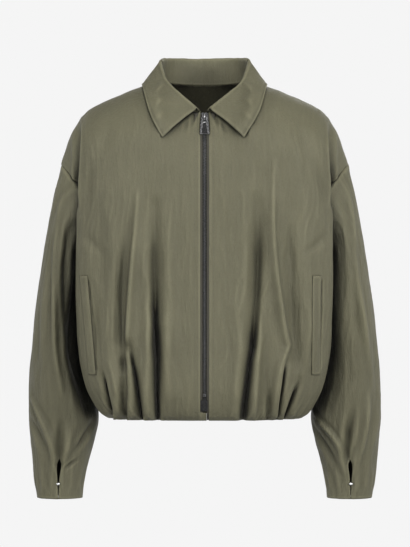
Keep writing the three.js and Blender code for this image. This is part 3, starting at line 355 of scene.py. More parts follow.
def panel_base(front, across, up):
    """A body panel as x, y, z: across 0 centre, 1 fold, 2 side seam; up 0 hem, 1 underarm, 2 top."""
    c = np.minimum(across, 1)
    flat_x, _ = section(front, c, CHEST_Z)
    top_y, top_z = top_edge(front, flat_x)
    share = np.where(up <= 1, 0, (1 - np.cos(np.pi * (up - 1))) / 2)
    z = np.where(up <= 1, mix(HEM_Z, UNDERARM_Z, up), mix(UNDERARM_Z, top_z, share))
    here_x, here_y = section(front, c, z)
    roll = mix(120.0 if front else 100.0, 80.0, smooth(c))
    down = clamp((top_z - z) / roll, 0, 1)
    power = mix(ROLL_POWER, FRONT_ROLL_POWER, clamp(1 - flat_x / NECK_HALF, 0, 1))
    fold = [here_x, mix(top_y, here_y, (1 - (1 - down) ** 2) ** power), z]
    corner = torso["corner_front" if front else "corner_back"](z)
    seam = armhole(front, share)
    low = up <= 1
    seam = [np.where(low, torso["side"](z), seam[0]), np.where(low, 2.0, seam[1]), np.where(low, z, seam[2])]
    way = 1 if front else -1
    own_leave = [0 * z, 0.24 * corner * way, 0 * z]
    own_reach = [0 * z, 1.45 * corner * way, 0 * z]
    row = share if front else np.ones_like(share)
    straight = 0.0 if front else smooth(share / 0.25) * (1 - smooth((share - 0.75) / 0.25))
    underarm = 0.0 if front else 1 - smooth(share / 0.25)
    r = clamp(across - 1, 0, 1)
    out = []
    for k, letter in enumerate("xyz"):
        chord = seam[k] - fold[k]
        leave = mix(mix(returning["fold_" + letter](row), own_leave[k], underarm), chord, straight)
        reach = mix(mix(returning["arm_" + letter](row), own_reach[k], underarm), chord, straight)
        leave = np.where(low, own_leave[k], leave)
        reach = np.where(low, own_reach[k], reach)
        out.append(np.where(across <= 1, fold[k], hermite(fold[k], seam[k], leave, reach, r)))
    return out


def grid_normals(points, flip):
    """Unit normals of a grid of points (rows, columns, 3)."""
    along = np.gradient(points, axis=1)
    up = np.gradient(points, axis=0)
    n = np.cross(along, up)
    length = np.linalg.norm(n, axis=2, keepdims=True)
    return flip * n / np.maximum(length, 1e-9)


def fold_path(names, row, key, z):
    """The middle of a fold at each height, and the fold's height there, which fades out beyond its ends."""
    f = dict(zip(names, row))
    a, b, c = f[key + "0"], f[key + "1"], f[key + "2"]
    z0, z1, z2 = f["z0"], f["z1"], f["z2"]
    t = clamp((z - z0) / (z2 - z0), 0, 1)
    m = (z1 - z0) / (z2 - z0)
    bend = (b - mix(a, c, m)) / (m * (1 - m))
    middle = mix(a, c, t) + bend * t * (1 - t)
    height = np.where(t < m, mix(f["high0"], f["high1"], smooth(t / m)),
                      mix(f["high1"], f["high2"], smooth((t - m) / (1 - m))))
    reach = 14.0
    fade = smooth((z0 + reach - z) / (2 * reach)) * smooth((z - z2 + reach) / (2 * reach))
    return middle, height * fade


def body_folds(rows, side, x, z):
    """Height of the folds and the sideways pull towards the deep ones."""
    height = np.zeros_like(x)
    pull = np.zeros_like(x)
    for row in rows:
        f = dict(zip(FOLD_COLUMNS, row))
        if f["side"] != side:
            continue
        middle, high = fold_path(FOLD_COLUMNS, row, "x", z)
        away = (x - middle) / f["wide"]
        shape = np.exp(-np.abs(away) ** 1.7)
        lips = 0.15 * np.exp(-((np.abs(away) - 1.9) / 0.8) ** 2)
        height += high * (shape - np.where(high < 0, lips, 0))
        strength = clamp(-high / 12, 0, 1.3)
        pull -= f["pinch"] * strength * away * np.exp(-away * away / 2.5)
        pull += f["lean"] * clamp(np.abs(high) / 12, 0, 1.3) * np.exp(-away * away)
    return height, pull


def wrinkles(u, v, seed):
    """Small uneven wrinkles, long in v. u and v are millimetres along the cloth."""
    bend = 9 * noise(u / 70, v / 60, seed)
    coarse = noise((u + bend) / 19, v / 88, seed + 1)
    middle = noise((u + bend) / 9.5, v / 47, seed + 2)
    fine = noise((u + 0.5 * bend) / 4.6, v / 24, seed + 3)
    sharp = 1 - 2.2 * np.abs(middle)
    return 1.25 * coarse + 0.55 * sharp + 0.22 * fine


def gathers(along, z, flat):
    """Uneven waves of the elastic hem, at a distance along it."""
    rise = clamp((z - HEM_Z) / GATHER["rise"], 0, 1)
    clear = smooth((np.abs(along) - flat) / 16)
    drift = 6 * np.sin(along / 31.0) + 3.5 * np.sin(along / 13.7 + 1)
    a = np.sin(2 * math.pi * (along + drift) / GATHER["long"])
    b = np.sin(2 * math.pi * (along - drift) / GATHER["short"] + 1.3)
    tall = 0.65 + 0.55 * noise(along / 14, 0 * along, 77)
    sharp = np.abs(a) ** 0.8 * np.sign(a)
    return GATHER["deep"] * clear * (sharp * (1 - rise) ** 1.3 * tall + 0.4 * b * (1 - rise) ** 3)


def arc_shares(points_at, low, high, step, keep=()):
    """Parameter values spaced evenly, by about step, along a line of points."""
    fine = np.linspace(low, high, 1200)
    p = points_at(fine)
    gone = np.concatenate([[0], np.cumsum(np.linalg.norm(np.diff(p, axis=0), axis=1))])
    marks = [0.0] + [float(np.interp(k, fine, gone)) for k in keep] + [gone[-1]]
    values = []
    for a, b in zip(marks[:-1], marks[1:]):
        count = max(1, round((b - a) / step))
        values += [mix(a, b, i / count) for i in range(count)]
    values.append(marks[-1])
    return np.interp(values, gone, fine), np.array(values)


def seam_groove(distance, deep=1.1, wide=2.0):
    return -deep * np.exp(-((distance / wide) ** 2))


def welt_edges(side, z):
    """Inner and outer distances of a welt's edges from the centre at a height."""
    w = next(w for w in WELTS if w["side"] == side)
    t = (z - WELT_Z[0]) / (WELT_Z[1] - WELT_Z[0])
    return mix(w["top"][0], w["low"][0], t), mix(w["top"][1], w["low"][1], t)


def pocket_groove(side, x, z):
    """Depth of the pocket's mouth beside a welt: both mouths lie on the wearer's left of theirs."""
    inner, outer = welt_edges(side, z)
    mouth = inner - 0.4 if side < 0 else outer + 0.4
    inside = smooth((WELT_Z[0] - 4 - z) / 8) * smooth((z - WELT_Z[1] - 4) / 8)
    deep, wide = (2.4, 1.3) if side < 0 else (5.5, 1.6)
    return deep * inside * np.exp(-(((x - mouth) / wide) ** 2))


def arm_fold(x, z):
    """The fold where the front turns under the arm: a trough between two small ridges."""
    grown = smooth((-42 - z) / 62)
    middle = 205 + 2.6 * smooth((-90 - z) / 70)
    trough = 8.5 * np.exp(-(((x - middle) / 3.4) ** 2))
    ridges = 2.6 * np.exp(-(((x - middle + 6) / 2.4) ** 2)) + 3.0 * np.exp(-(((x - middle - 8) / 3.4) ** 2))
    return grown * (ridges - trough)


def panel_points(front, side, across, up, sideways):
    """A body panel's outer points with all folds, and its normals, on grids of across and up."""
    base = np.stack(panel_base(front, across, up), axis=-1)
    base[..., 0] *= side
    flip = side if front else -side
    n = grid_normals(base, flip)
    x = np.abs(base[..., 0])
    z = base[..., 2]
    rows = FRONT_FOLDS if front else BACK_FOLDS
    held = 1 - smooth((across - 0.84) / 0.16)
    height, pull = body_folds(rows, side, x, z)
    seed = 11 if front else 31
    small = wrinkles(side * sideways + 400, z, seed + side)
    sewn = sum(np.exp(-(((sideways - line) / 1.3) ** 2)) for line in ZIP_STITCHES[side]) if front else 0.0
    edge = smooth(sideways / 26) if front else 1.0
    calm = mix(0.35, 1.0, smooth((-60 - z) / 140)) * edge
    waves = gathers(side * sideways, z, GATHER["clear_front"] if front else -30)
    behind = smooth((across - 1.05) / 0.3)
    slack = 2.2 * behind * noise(sideways / 18, z / 60, seed + 5)
    n[..., 2] *= smooth((z - HEM_Z) / 40)
    n /= np.linalg.norm(n, axis=2, keepdims=True)
    mouth = pocket_groove(side, x, z) if front else 0.0
    arm = arm_fold(x, z) * smooth((z + 205) / 40) if front else 0.0
    p = base + n * (held * height + calm * small + waves + slack + arm - 0.35 * sewn - mouth)[..., None]
    p[..., 0] += side * pull * held
    return p


def shell(name, rows, thickness=CLOTH, flip=1):
    """A thin closed shell from a grid of outer points: the inside lies a thickness behind them."""
    p = np.asarray(rows, float)
    n = grid_normals(p, flip)
    high, wide = p.shape[:2]
    inner = p - n * thickness
    verts = np.concatenate([p.reshape(-1, 3), inner.reshape(-1, 3)]) * MM
    index = np.arange(high * wide).reshape(high, wide)
    a, b = index[:-1, :-1], index[:-1, 1:]
    c, d = index[1:, 1:], index[1:, :-1]
    outer = np.stack([a, b, c, d], axis=-1).reshape(-1, 4)
    inside = outer[:, ::-1] + high * wide
    rims = [(index[0], False), (index[-1], True), (index[:, 0], True), (index[:, -1], False)]
    walls = []
    for line, turned in rims:
        wall = np.stack([line[:-1], line[:-1] + high * wide, line[1:] + high * wide, line[1:]], axis=-1)
        walls.append(wall[:, ::-1] if turned else wall)
    faces = np.concatenate([outer, inside] + walls)
    if flip < 0:
        faces = faces[:, ::-1]
    return mesh_object(name, verts, faces, smooth_shading=True)


def mesh_object(name, verts, faces, smooth_shading=False):
    mesh = bpy.data.meshes.new(name)
    mesh.from_pydata([tuple(v) for v in verts], [], [tuple(int(i) for i in f) for f in faces])
    mesh.validate()
    mesh.update()
    if smooth_shading:
        mesh.shade_smooth()
    obj = bpy.data.objects.new(name, mesh)
    bpy.context.scene.collection.objects.link(obj)
    return obj


def place(obj, slot, *nodes, body=BODY, material=None):
    obj.data.materials.append(MATERIALS[material or slot])
    if nodes:
        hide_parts(*nodes)
    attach(obj, body)
    return obj


# Cloth pieces

STEP = {True: 2.2, False: 2.9}  # spacing of a panel's points on the front and the back


def up_values(front):
    def line(up):
        c = np.full_like(up, 0.55)
        return np.stack(panel_base(front, c, up), axis=-1)

    return arc_shares(line, 0, 2, STEP[front], keep=(1.0,))[0]


def across_values(front):
    def line(across):
        return np.stack(panel_base(front, across, np.full_like(across, 0.62)), axis=-1)

    neck = float(share_of(front, NECK_HALF))
    return arc_shares(line, 0, 2, STEP[front], keep=(neck, 1.0))


def half_panel(front, side):
    """A grid of points over one half of the front or back."""
    up = up_values(front)
    across, distance = across_values(front)
    a, u = np.meshgrid(across, up)
    sideways = np.meshgrid(distance, up)[0]
    return panel_points(front, side, a, u, sideways)


def pull_edge(p, line, by):
    """Draws one edge of a grid back along the cloth, so that it stays clear of its neighbour."""
    edge = {"last": (slice(None), -1), "first": (slice(None), 0), "top": (-1, slice(None))}[line]
    near = {"last": (slice(None), -2), "first": (slice(None), 1), "top": (-2, slice(None))}[line]
    way = p[near] - p[edge]
    p[edge] += by * way / np.linalg.norm(way, axis=-1, keepdims=True)


def groove_edges(p, flip, lines, deep=1.1):
    """Sinks a grid's sewn edges a little, as a seam does."""
    n = grid_normals(p, flip)
    step = np.linalg.norm(np.diff(p, axis=1), axis=2)
    from_last = np.concatenate([np.cumsum(step[:, ::-1], axis=1)[:, ::-1], np.zeros((len(p), 1))], axis=1)
    from_first = np.concatenate([np.zeros((len(p), 1)), np.cumsum(step, axis=1)], axis=1)
    rise = np.linalg.norm(np.diff(p, axis=0), axis=2)
    from_top = np.concatenate([np.cumsum(rise[::-1], axis=0)[::-1], np.zeros((1, p.shape[1]))])
    far = {"last": from_last, "first": from_first, "top": from_top}
    for line in lines:
        p = p + n * seam_groove(far[line], deep)[..., None]
    return p


def front_panel(name, node, side):
    p = half_panel(True, side)
    p = groove_edges(p, side, ["last"], 0.6)
    p = groove_edges(p, side, ["top"], 0.8)
    pull_edge(p, "last", CLEAR)
    pull_edge(p, "top", CLEAR)
    near_zip = np.exp(-(((np.abs(p[..., 0]) - 15) / 7) ** 2))
    p[..., 2] -= 4.0 * near_zip * smooth((p[..., 2] + 66) / 30)
    if side < 0:
        low = p[:, 0, 2] < UNDERLAP["below"]
        p[low, 0, 0] += UNDERLAP["reach"]
    obj = shell(name, p, flip=side)
    place(obj, "cloth", node)
    return obj, p


def back_panel():
    right = half_panel(False, -1)[:, ::-1]
    left = half_panel(False, 1)
    seam = (right[:, -1:] + left[:, :1]) / 2
    p = np.concatenate([right[:, :-1], seam, left[:, 1:]], axis=1)
    p = groove_edges(p, -1, ["first", "last", "top"], 0.6)
    for line in ("first", "last", "top"):
        pull_edge(p, line, CLEAR)
    obj = shell("back_cloth", p, flip=-1)
    place(obj, "cloth", "back")


# The top of a sleeve lies under the body's edge.
TUCK = {"deep": 1.3, "wide": 2.4, "under": 1.6}


def sleeve_base(side, turn, down):
    a = np.radians(turn)
    seam = armhole(np.sin(a) >= 0, (1 + np.cos(a)) / 2)
    z = mix(seam[2], CUFF_Z, down)
    outer = sleeve_at["outer"](z)
    inner = sleeve_at["inner"](z)
    x = (outer + inner) / 2 + (outer - inner) / 2 * np.cos(a)
    y = sleeve_at["mid"](z) - sleeve_at["deep"](z) * np.sin(a)
    k = 1 - (1 - clamp((seam[2] - z) / SEAM_BLEND, 0, 1)) ** 3
    return np.stack([side * mix(seam[0], x, k), mix(seam[1], y, k), z], axis=-1)


def sleeve_points(side, turn, down):
    base = sleeve_base(side, turn, down)
    z = base[..., 2]
    n = grid_normals(base, side)
    height = np.zeros_like(z)
    for row in SLEEVE_FOLDS:
        if row[0] not in (side, 0):
            continue
        f = dict(zip(SLEEVE_FOLD_COLUMNS, row))
        middle, high = fold_path(SLEEVE_FOLD_COLUMNS, row, "t", z)
        away = ((turn - middle + 180) % 360 - 180) / f["wide"]
        height += high * (np.exp(-np.abs(away) ** 1.7) - 0.2 * np.exp(-((np.abs(away) - 1.9) / 0.8) ** 2))
    round_ = 1.06 * turn
    ends = smooth((CUFF_Z - z) / -14) * smooth((armhole(True, 0.99)[2] + 40 - z) / 60)
    small = wrinkles(round_ + 90 * side, z, 51 + side)
    small = small * (0.5 + 0.5 * smooth((z - CUFF_Z) / 60))
    blend = smooth((turn - (SLIT["turn"] + 330)) / 30)
    small = mix(small, wrinkles(round_ - 360 * 1.06 + 90 * side, z, 51 + side), blend)
    near_cuff = smooth((CUFF_Z + 75 - z) / 60)
    pleats = 1.1 * near_cuff * (1 - smooth((CUFF_Z + 26 - z) / 18)) * np.sin(np.radians(turn) * 15 + 1)
    return base + n * (height * ends + 0.9 * small + pleats)[..., None]


def sleeve(name, node, side):
    step = 2.9
    around = int(round(330 / step))
    turns = SLIT["turn"] + np.linspace(0, 360, around + 1)
    downs = np.linspace(0, 1, 178)
    turn, down = np.meshgrid(turns, downs)
    p = sleeve_points(side, turn, down)
    p[:, -1] = p[:, 0]
    n = grid_normals(np.concatenate([p[:, -2:-1], p, p[:, 1:2]], axis=1), side)[:, 1:-1]
    from_seam = np.linalg.norm(p - p[:1], axis=2)
    near = np.exp(-from_seam / 11)
    pucker = 1.3 * near * noise(turn / 4.5, from_seam / 18, 61 + side)
    p = p + n * (seam_groove(from_seam, TUCK["deep"], TUCK["wide"]) + pucker)[..., None]
    way = p[1] - p[0]
    p[0] -= TUCK["under"] * way / np.linalg.norm(way, axis=-1, keepdims=True)
    p = p[::-1]
    z = p[:, 0, 2]
    slit_half = 3.4 * smooth((SLIT["top"] - z) / 9) * (1 - 0.62 * smooth((SLIT["top"] - 12 - z) / 28))
    slit_half = slit_half - 0.75 * smooth((SLIT["hook"] - z) / 16)
    slit_half = np.maximum(slit_half, 0.7) - 0.62 * smooth((CUFF_Z + 9 - z) / 5)
    slit_half = np.where(z < SLIT["top"], slit_half, 0.0)
    closed_rows = z >= SLIT["top"]
    for column, weight in ((0, 1.0), (1, 0.75), (2, 0.45), (3, 0.2)):
        p[:, column, 0] -= side * weight * slit_half
        p[:, -1 - column, 0] += side * weight * slit_half
    obj = sleeve_shell(name, p, -side, closed_rows)
    place(obj, "cloth", node)


def sleeve_shell(name, p, flip, closed_rows):
    """A tube whose low rows are slit open along their first column."""
    ring = np.concatenate([p[:, -2:-1], p[:, :-1], p[:, :2]], axis=1)
    n = grid_normals(ring, flip)[:, 1:-1]
    flat = grid_normals(p, flip)
    n = np.where(closed_rows[:, None, None], n, flat)
    first_closed = int(np.argmax(closed_rows))
    high, wide = p.shape[:2]
    inner = p - n * CLOTH
    verts = np.concatenate([p.reshape(-1, 3), inner.reshape(-1, 3)]) * MM
    index = np.arange(high * wide).reshape(high, wide)
    index[first_closed:, -1] = index[first_closed:, 0]
    a, b = index[:-1, :-1], index[:-1, 1:]
    c, d = index[1:, 1:], index[1:, :-1]
    outer = np.stack([a, b, c, d], axis=-1).reshape(-1, 4)
    inside = outer[:, ::-1] + high * wide
    rims = [(index[0], False), (index[-1], True)]
    rims += [(index[: first_closed + 1, 0], True), (index[: first_closed + 1, -1], False)]
    walls = []
    for line, turned in rims:
        wall = np.stack([line[:-1], line[:-1] + high * wide, line[1:] + high * wide, line[1:]], axis=-1)
        walls.append(wall[:, ::-1] if turned else wall)
    faces = np.concatenate([outer, inside] + walls)
    if flip < 0:
        faces = faces[:, ::-1]
    return mesh_object(name, verts, faces, smooth_shading=True)


# Collar

def neck_x(front, angle):
    edge = FRONT_EDGE if front else 0.0
    return edge + (NECK_HALF - edge) * np.sin(angle)


def surface_at(front, x, z):
    """A place on the bare body at a distance from the centre and a height, with its normal."""
    _, top = top_edge(front, np.asarray(x, float))
    share = clamp((z - UNDERARM_Z) / (top - UNDERARM_Z), 0, 1)
    low = (z - HEM_Z) / (UNDERARM_Z - HEM_Z)
    up = np.where(z <= UNDERARM_Z, low, 1 + np.arccos(1 - 2 * share) / math.pi)
    across = share_of(front, x, z)
    return np.stack(panel_base(front, across, np.minimum(up, 1.999)), axis=-1), across, up


def collar_line(station, count):
    """One profile of the collar, from the neck seam over the roll to the outer edge."""
    front = station > 0.5
    x = float(neck_x(front, (1 - station if front else station) * math.pi))
    neck_y, neck_z = top_edge(front, min(x, NECK_HALF - 1e-6))
    seam = np.array([x, float(neck_y), float(neck_z) - 0.6])
    roll = np.array([float(collar_at[k](station)) for k in ("roll_x", "roll_y", "roll_z")])
    edge_x = float(collar_at["edge_x"](station))
    edge_z = float(collar_at["edge_z"](station))
    over, _, _ = surface_at(station >= 0.5, edge_x, edge_z)
    outward = np.array([over[0] - seam[0], over[1] - seam[1], 0.0])
    outward /= np.linalg.norm(outward)
    lift = COLLAR_LIFT * (0.75 * outward + np.array([0, 0, 0.66]))
    edge = over + lift
    r = min(COLLAR_ROLL, 0.35 * np.linalg.norm(roll - seam))
    down = np.array([0, 0, 1.0])
    inner = roll - outward * r - down * r * 1.4
    outer = roll + outward * r - down * r * 1.2
    bend = [roll - outward * r * 0.5 - down * r * 0.3, roll + outward * r * 0.5 - down * r * 0.3]
    fall = []
    bulge = COLLAR_BULGE - 3.2 * math.exp(-(((station - 0.5) / 0.16) ** 2))
    for t in (0.25, 0.5, 0.75):
        q = mix(outer, edge, t) + outward * bulge * math.sin(math.pi * t)
        fall.append(clear_of_body(q, station >= 0.5))
    key = np.array([seam, mix(seam, inner, 0.5), inner, *bend, outer, *fall, edge])
    gone = np.concatenate([[0], np.cumsum(np.linalg.norm(np.diff(key, axis=0), axis=1))])
    t = np.linspace(0, gone[-1], count)
    return np.stack([smooth_line(gone, key[:, k], t) for k in range(3)], axis=-1), gone[-1]


def smooth_line(x, y, at):
    """A smooth curve through points, with slopes taken from their neighbours."""
    before = np.maximum(np.arange(len(x)) - 1, 0)
    after = np.minimum(np.arange(len(x)) + 1, len(x) - 1)
    slope = (y[after] - y[before]) / (x[after] - x[before])
    i = clamp(np.searchsorted(x, at, side="right") - 1, 0, len(x) - 2)
    h = x[i + 1] - x[i]
    t = (at - x[i]) / h
    return hermite(y[i], y[i + 1], slope[i] * h, slope[i + 1] * h, t)


def clear_of_body(q, front):
    _, top = top_edge(front, q[0])
    if q[2] > float(top):
        return q
    under, _, _ = surface_at(front, q[0], q[2])
    limit = abs(float(under[1])) + 1.6 * COLLAR_LIFT
    if abs(q[1]) < limit:
        q[1] = -limit if front else limit
    return q


def collar():
    count = 44
    stations = 1 - np.linspace(0, 1, 92)
    lines = [collar_line(float(s), count)[0] for s in stations]
    right = np.array(lines) * np.array([-1.0, 1, 1])
    left = np.array(lines[:-1])[::-1]
    left[:, :, 0] -= 4.4 * smooth((np.arange(len(left)) - len(left) + 26) / 25)[:, None]
    p = np.concatenate([right, left]).transpose(1, 0, 2)
    n = grid_normals(p, 1)
    along = np.meshgrid(np.arange(p.shape[1]) * 2.2, np.arange(p.shape[0]) * 2.0)[0]
    rise = np.meshgrid(np.arange(p.shape[1]), np.arange(p.shape[0]) * 2.6)[1]
    soft = 0.6 * noise(along / 26, rise / 30, 91) + 0.35 * noise(along / 9, rise / 16, 92)
    loose = smooth((rise - 8) / 20)
    from_edge = rise.max() - rise
    stitched = -1.1 * np.exp(-(((from_edge - COLLAR_STITCH) / 1.2) ** 2))
    p = p + n * (0.6 + soft * loose + stitched)[..., None]
    obj = shell("collar_cloth", p, thickness=1.4)
    place(obj, "cloth", "collar")
    return p


# Things that lie on the cloth

def finder(obj):
    """Finds the place and normal of a piece's cloth from in front."""
    mesh = obj.data
    tree = BVHTree.FromPolygons([v.co for v in mesh.vertices], [f.vertices[:] for f in mesh.polygons])

    def from_front(x, z):
        hit, normal, _, _ = tree.ray_cast(Vector((x * MM, -0.4, z * MM)), Vector((0, 1, 0)))
        return np.array(hit) / MM, np.array(normal)

    return from_front


def smoothed(points, turns=2):
    q = np.array(points, float)
    for _ in range(turns):
        q[1:-1] = (q[:-2] + 2 * q[1:-1] + q[2:]) / 4
    return q


def outward(obj):
    """Turns a closed mesh's faces outwards."""
    b = bmesh.new()
    b.from_mesh(obj.data)
    bmesh.ops.recalc_face_normals(b, faces=b.faces)
    b.to_mesh(obj.data)
    b.free()


def stitch_row(line, normals, pitch=3.1, long=2.3, wide=0.55, high=0.34):
    """Threads of one row of stitches: corners and faces of small lozenges along a line."""
    line = np.asarray(line, float)
    gone = np.concatenate([[0], np.cumsum(np.linalg.norm(np.diff(line, axis=0), axis=1))])
    verts = []
    faces = []
    for start in np.arange(0.4, gone[-1] - long, pitch):
        a = np.array([np.interp(start, gone, line[:, k]) for k in range(3)])
        b = np.array([np.interp(start + long, gone, line[:, k]) for k in range(3)])
        n = np.array([np.interp(start + long / 2, gone, normals[:, k]) for k in range(3)])
        n /= np.linalg.norm(n)
        way = (b - a) / np.linalg.norm(b - a)
        across = np.cross(way, n) * wide / 2
        first = len(verts)
        verts += [a - n * 0.2, b - n * 0.2]
        for t in (0.25, 0.75):
            c = mix(a, b, t)
            verts += [c + across - n * 0.1, c + n * high, c - across - n * 0.1]
        for j, k in ((2, 3), (3, 4), (4, 2)):
            faces.append((first, first + j, first + k))
            faces.append((first + j, first + j + 3, first + k + 3, first + k))
            faces.append((first + j + 3, first + 1, first + k + 3))
    return verts, faces


def stitches(name, rows):
    """One object that holds several rows of stitches, each a line and its normals."""
    verts = []
    faces = []
    for line, normals in rows:
        v, f = stitch_row(line, normals)
        faces += [tuple(i + len(verts) for i in face) for face in f]
        verts += v
    obj = mesh_object(name, np.array(verts) * MM, faces, smooth_shading=True)
    outward(obj)
    return place(obj, "cloth", material="thread")


def inset_line(p, flip, edge, distance, rows=slice(None)):
    """A line on a grid of points that keeps a distance from one of its edges, with its normals."""
    n = grid_normals(p, flip)
    if edge == "top":
        p = p.transpose(1, 0, 2)
        n = n.transpose(1, 0, 2)
    if edge in ("top", "last"):
        p = p[:, ::-1]
        n = n[:, ::-1]
    p = p[rows]
    n = n[rows]
    line = []
    normals = []
    for points, ways in zip(p, n):
        gone = np.concatenate([[0], np.cumsum(np.linalg.norm(np.diff(points[:40], axis=0), axis=1))])
        line.append([np.interp(distance, gone, points[:40, k]) for k in range(3)])
        normals.append([np.interp(distance, gone, ways[:40, k]) for k in range(3)])
    return smoothed(line, 1), np.array(normals)


def welt(find, w):
    """A doubled strip of cloth on the front. One edge is sewn down and the other is the pocket's mouth."""
    side = w["side"]
    columns = 8
    rows = []
    normals = []
    for z in np.linspace(WELT_Z[0], WELT_Z[1], 56):
        inner, outer = welt_edges(side, z)
        places = [find(side * x, z) for x in np.linspace(inner, outer, columns)]
        rows.append([q for q, _ in places])
        normals.append([m for _, m in places])
    rows = np.array(rows)
    normals = np.array(normals)
    normals = normals.mean(axis=1, keepdims=True) * np.ones((1, columns, 1))
    normals /= np.linalg.norm(normals, axis=2, keepdims=True)
    rise = np.array([1.1, 1.35, 1.5, 1.55, 1.6, 1.65, 1.7, 1.5])
    rise = rise[::-1] if side < 0 else rise
    rows = rows + normals * rise[None, :, None]
    for column in range(columns):
        rows[:, column] = smoothed(rows[:, column], 8)
    rows[:, 1:-1] = (rows[:, :-2] + 2 * rows[:, 1:-1] + rows[:, 2:]) / 4
    obj = shell(w["name"], rows[::-1], thickness=0.8, flip=side)
    place(obj, "cloth", "pocket_" + w["name"])
    sewn = 1 if side > 0 else -2
    lines = [(rows[1:-1, sewn], normals[1:-1, 0]), (rows[1:-1, -1 - sewn], normals[1:-1, 0])]
    lines += [(rows[i, 1:-1], normals[i, 1:-1]) for i in (1, 2, -2, -3)]
    stitches(w["name"] + "_stitches", lines)


# Zip

def zip_plane(x, z, out=0.0):
    """A place on the plane of the tapes, moved out of the front, and the way out."""
    distance = max(abs(x), FRONT_EDGE)
    p, _, _ = surface_at(True, distance, z)
    low, _, _ = surface_at(True, distance, z - 2.0)
    way = (p - low) / np.linalg.norm(p - low)
    n = np.array([0.0, -way[2], way[1]])
    n /= np.linalg.norm(n)
    return np.array([x, p[1], p[2]]) + n * (out - ZIP["sunk"]), n


def zip_tape(name, node, side):
    rows = []
    across = np.linspace(ZIP["tape_from"], ZIP["tape_to"], 8)
    for z in np.linspace(ZIP["top"] - 0.3, ZIP["tape_low"], 190):
        rows.append([zip_plane(side * x, z, 0.4)[0] for x in across])
    obj = shell(name, np.array(rows)[::-1], thickness=ZIP["tape_thick"], flip=side)
    place(obj, "zip_tape", node)


def block(centre, axes, size, bevel):
    """Corners and faces of a block whose four upright edges are cut off."""
    verts = []
    half = np.array(size) / 2
    for out in (1, -1):
        for sx, sy in ((1, 1), (-1, 1), (-1, -1), (1, -1)):
            cuts = ((0, 1), (1, 0)) if sx * sy > 0 else ((1, 0), (0, 1))
            for cut in cuts:
                local = half * (sx, sy, out)
                local[0] -= sx * bevel * cut[0]
                local[1] -= sy * bevel * cut[1]
                local[:2] *= 0.9 if out > 0 else 1.0
                verts.append(centre + axes @ local)
    faces = [tuple(range(8)), tuple(range(15, 7, -1))]
    for j in range(8):
        k = (j + 1) % 8
        faces.append((k, j, 8 + j, 8 + k))
    return verts, faces


def zip_teeth():
    """Two rows of metal teeth that mesh along the centre line."""
    verts = []
    faces = []
    for i, z in enumerate(np.arange(ZIP["teeth_top"], ZIP["teeth_low"], -ZIP["pitch"] / 2)):
        side = 1 if i % 2 else -1
        at, n = zip_plane(0.0, z)
        up = np.cross(n, [1.0, 0, 0])
        axes = np.array([[1.0, 0, 0], up * np.sign(up[2]), n]).T
        v, f = block(at + np.array([side * 1.15, 0, 0]), axes, (3.7, 1.15, 2.4), 0.25)
        faces += [tuple(k + len(verts) for k in face) for face in f]
        verts += v
    obj = mesh_object("zip_teeth", np.array(verts) * MM, faces)
    outward(obj)
    place(obj, "zip_metal", "zip_chain")


def zip_frame(z):
    """Axes across, up and out of the zip at a height, with their origin on the zip's plane."""
    p, n = zip_plane(0.0, z)
    up = np.cross(n, [1.0, 0, 0])
    up *= np.sign(up[2])
    m = Matrix.Identity(4)
    for k, axis in enumerate(([1.0, 0, 0], up, n)):
        for j in range(3):
            m[j][k] = axis[j]
    m.translation = Vector(p)
    return m


def plate(name, outlines, thick, bevel, frame_matrix, middle=0.0):
    """A plate with rounded rims from flat outlines, the first the rim and the others holes."""
    curve_data = bpy.data.curves.new(name, "CURVE")
    curve_data.dimensions = "2D"
    curve_data.fill_mode = "BOTH"
    curve_data.extrude = thick / 2 - bevel
    curve_data.bevel_depth = bevel
    curve_data.bevel_resolution = 3
    curve_data.offset = -bevel
    for points in outlines:
        spline = curve_data.splines.new("POLY")
        spline.points.add(len(points) - 1)
        for point, (x, y) in zip(spline.points, points):
            point.co = (x, y, 0, 1)
        spline.use_cyclic_u = True
    made = bpy.data.objects.new(name, curve_data)
    mesh = bpy.data.meshes.new_from_object(made)
    bpy.data.objects.remove(made)
    mesh.transform(Matrix.Translation((0, 0, middle)))
    mesh.transform(frame_matrix)
    mesh.transform(Matrix.Diagonal((MM, MM, MM, 1)))
    b = bmesh.new()
    b.from_mesh(mesh)
    bmesh.ops.remove_doubles(b, verts=b.verts, dist=1e-6)
    bmesh.ops.recalc_face_normals(b, faces=b.faces)
    b.to_mesh(mesh)
    b.free()
    obj = bpy.data.objects.new(name, mesh)
    bpy.context.scene.collection.objects.link(obj)
    return obj


def rounded(points, radius, steps=5):
    """An outline of straight sides whose corners are arcs."""
    out = []
    count = len(points)
    for i in range(count):
        here = np.array(points[i], float)
        before = np.array(points[i - 1], float) - here
        after = np.array(points[(i + 1) % count], float) - here
        r = min(radius, 0.45 * np.linalg.norm(before), 0.45 * np.linalg.norm(after))
        a = here + r * before / np.linalg.norm(before)
        b = here + r * after / np.linalg.norm(after)
        for t in np.linspace(0, 1, steps):
            out.append((1 - t) ** 2 * a + 2 * t * (1 - t) * here + t * t * b)
    return out


def ellipse(half_wide, half_high, centre=(0, 0), count=28):
    turns = np.linspace(0, 2 * math.pi, count, endpoint=False)
    return [(centre[0] + half_wide * math.cos(t), centre[1] + half_high * math.sin(t)) for t in turns]


def joined(name, parts):
    """One object from several, which share the shared frame."""
    b = bmesh.new()
    for part in parts:
        b.from_mesh(part.data)
        bpy.data.objects.remove(part)
    mesh = bpy.data.meshes.new(name)
    b.to_mesh(mesh)
    b.free()
    obj = bpy.data.objects.new(name, mesh)
    bpy.context.scene.collection.objects.link(obj)
    return obj


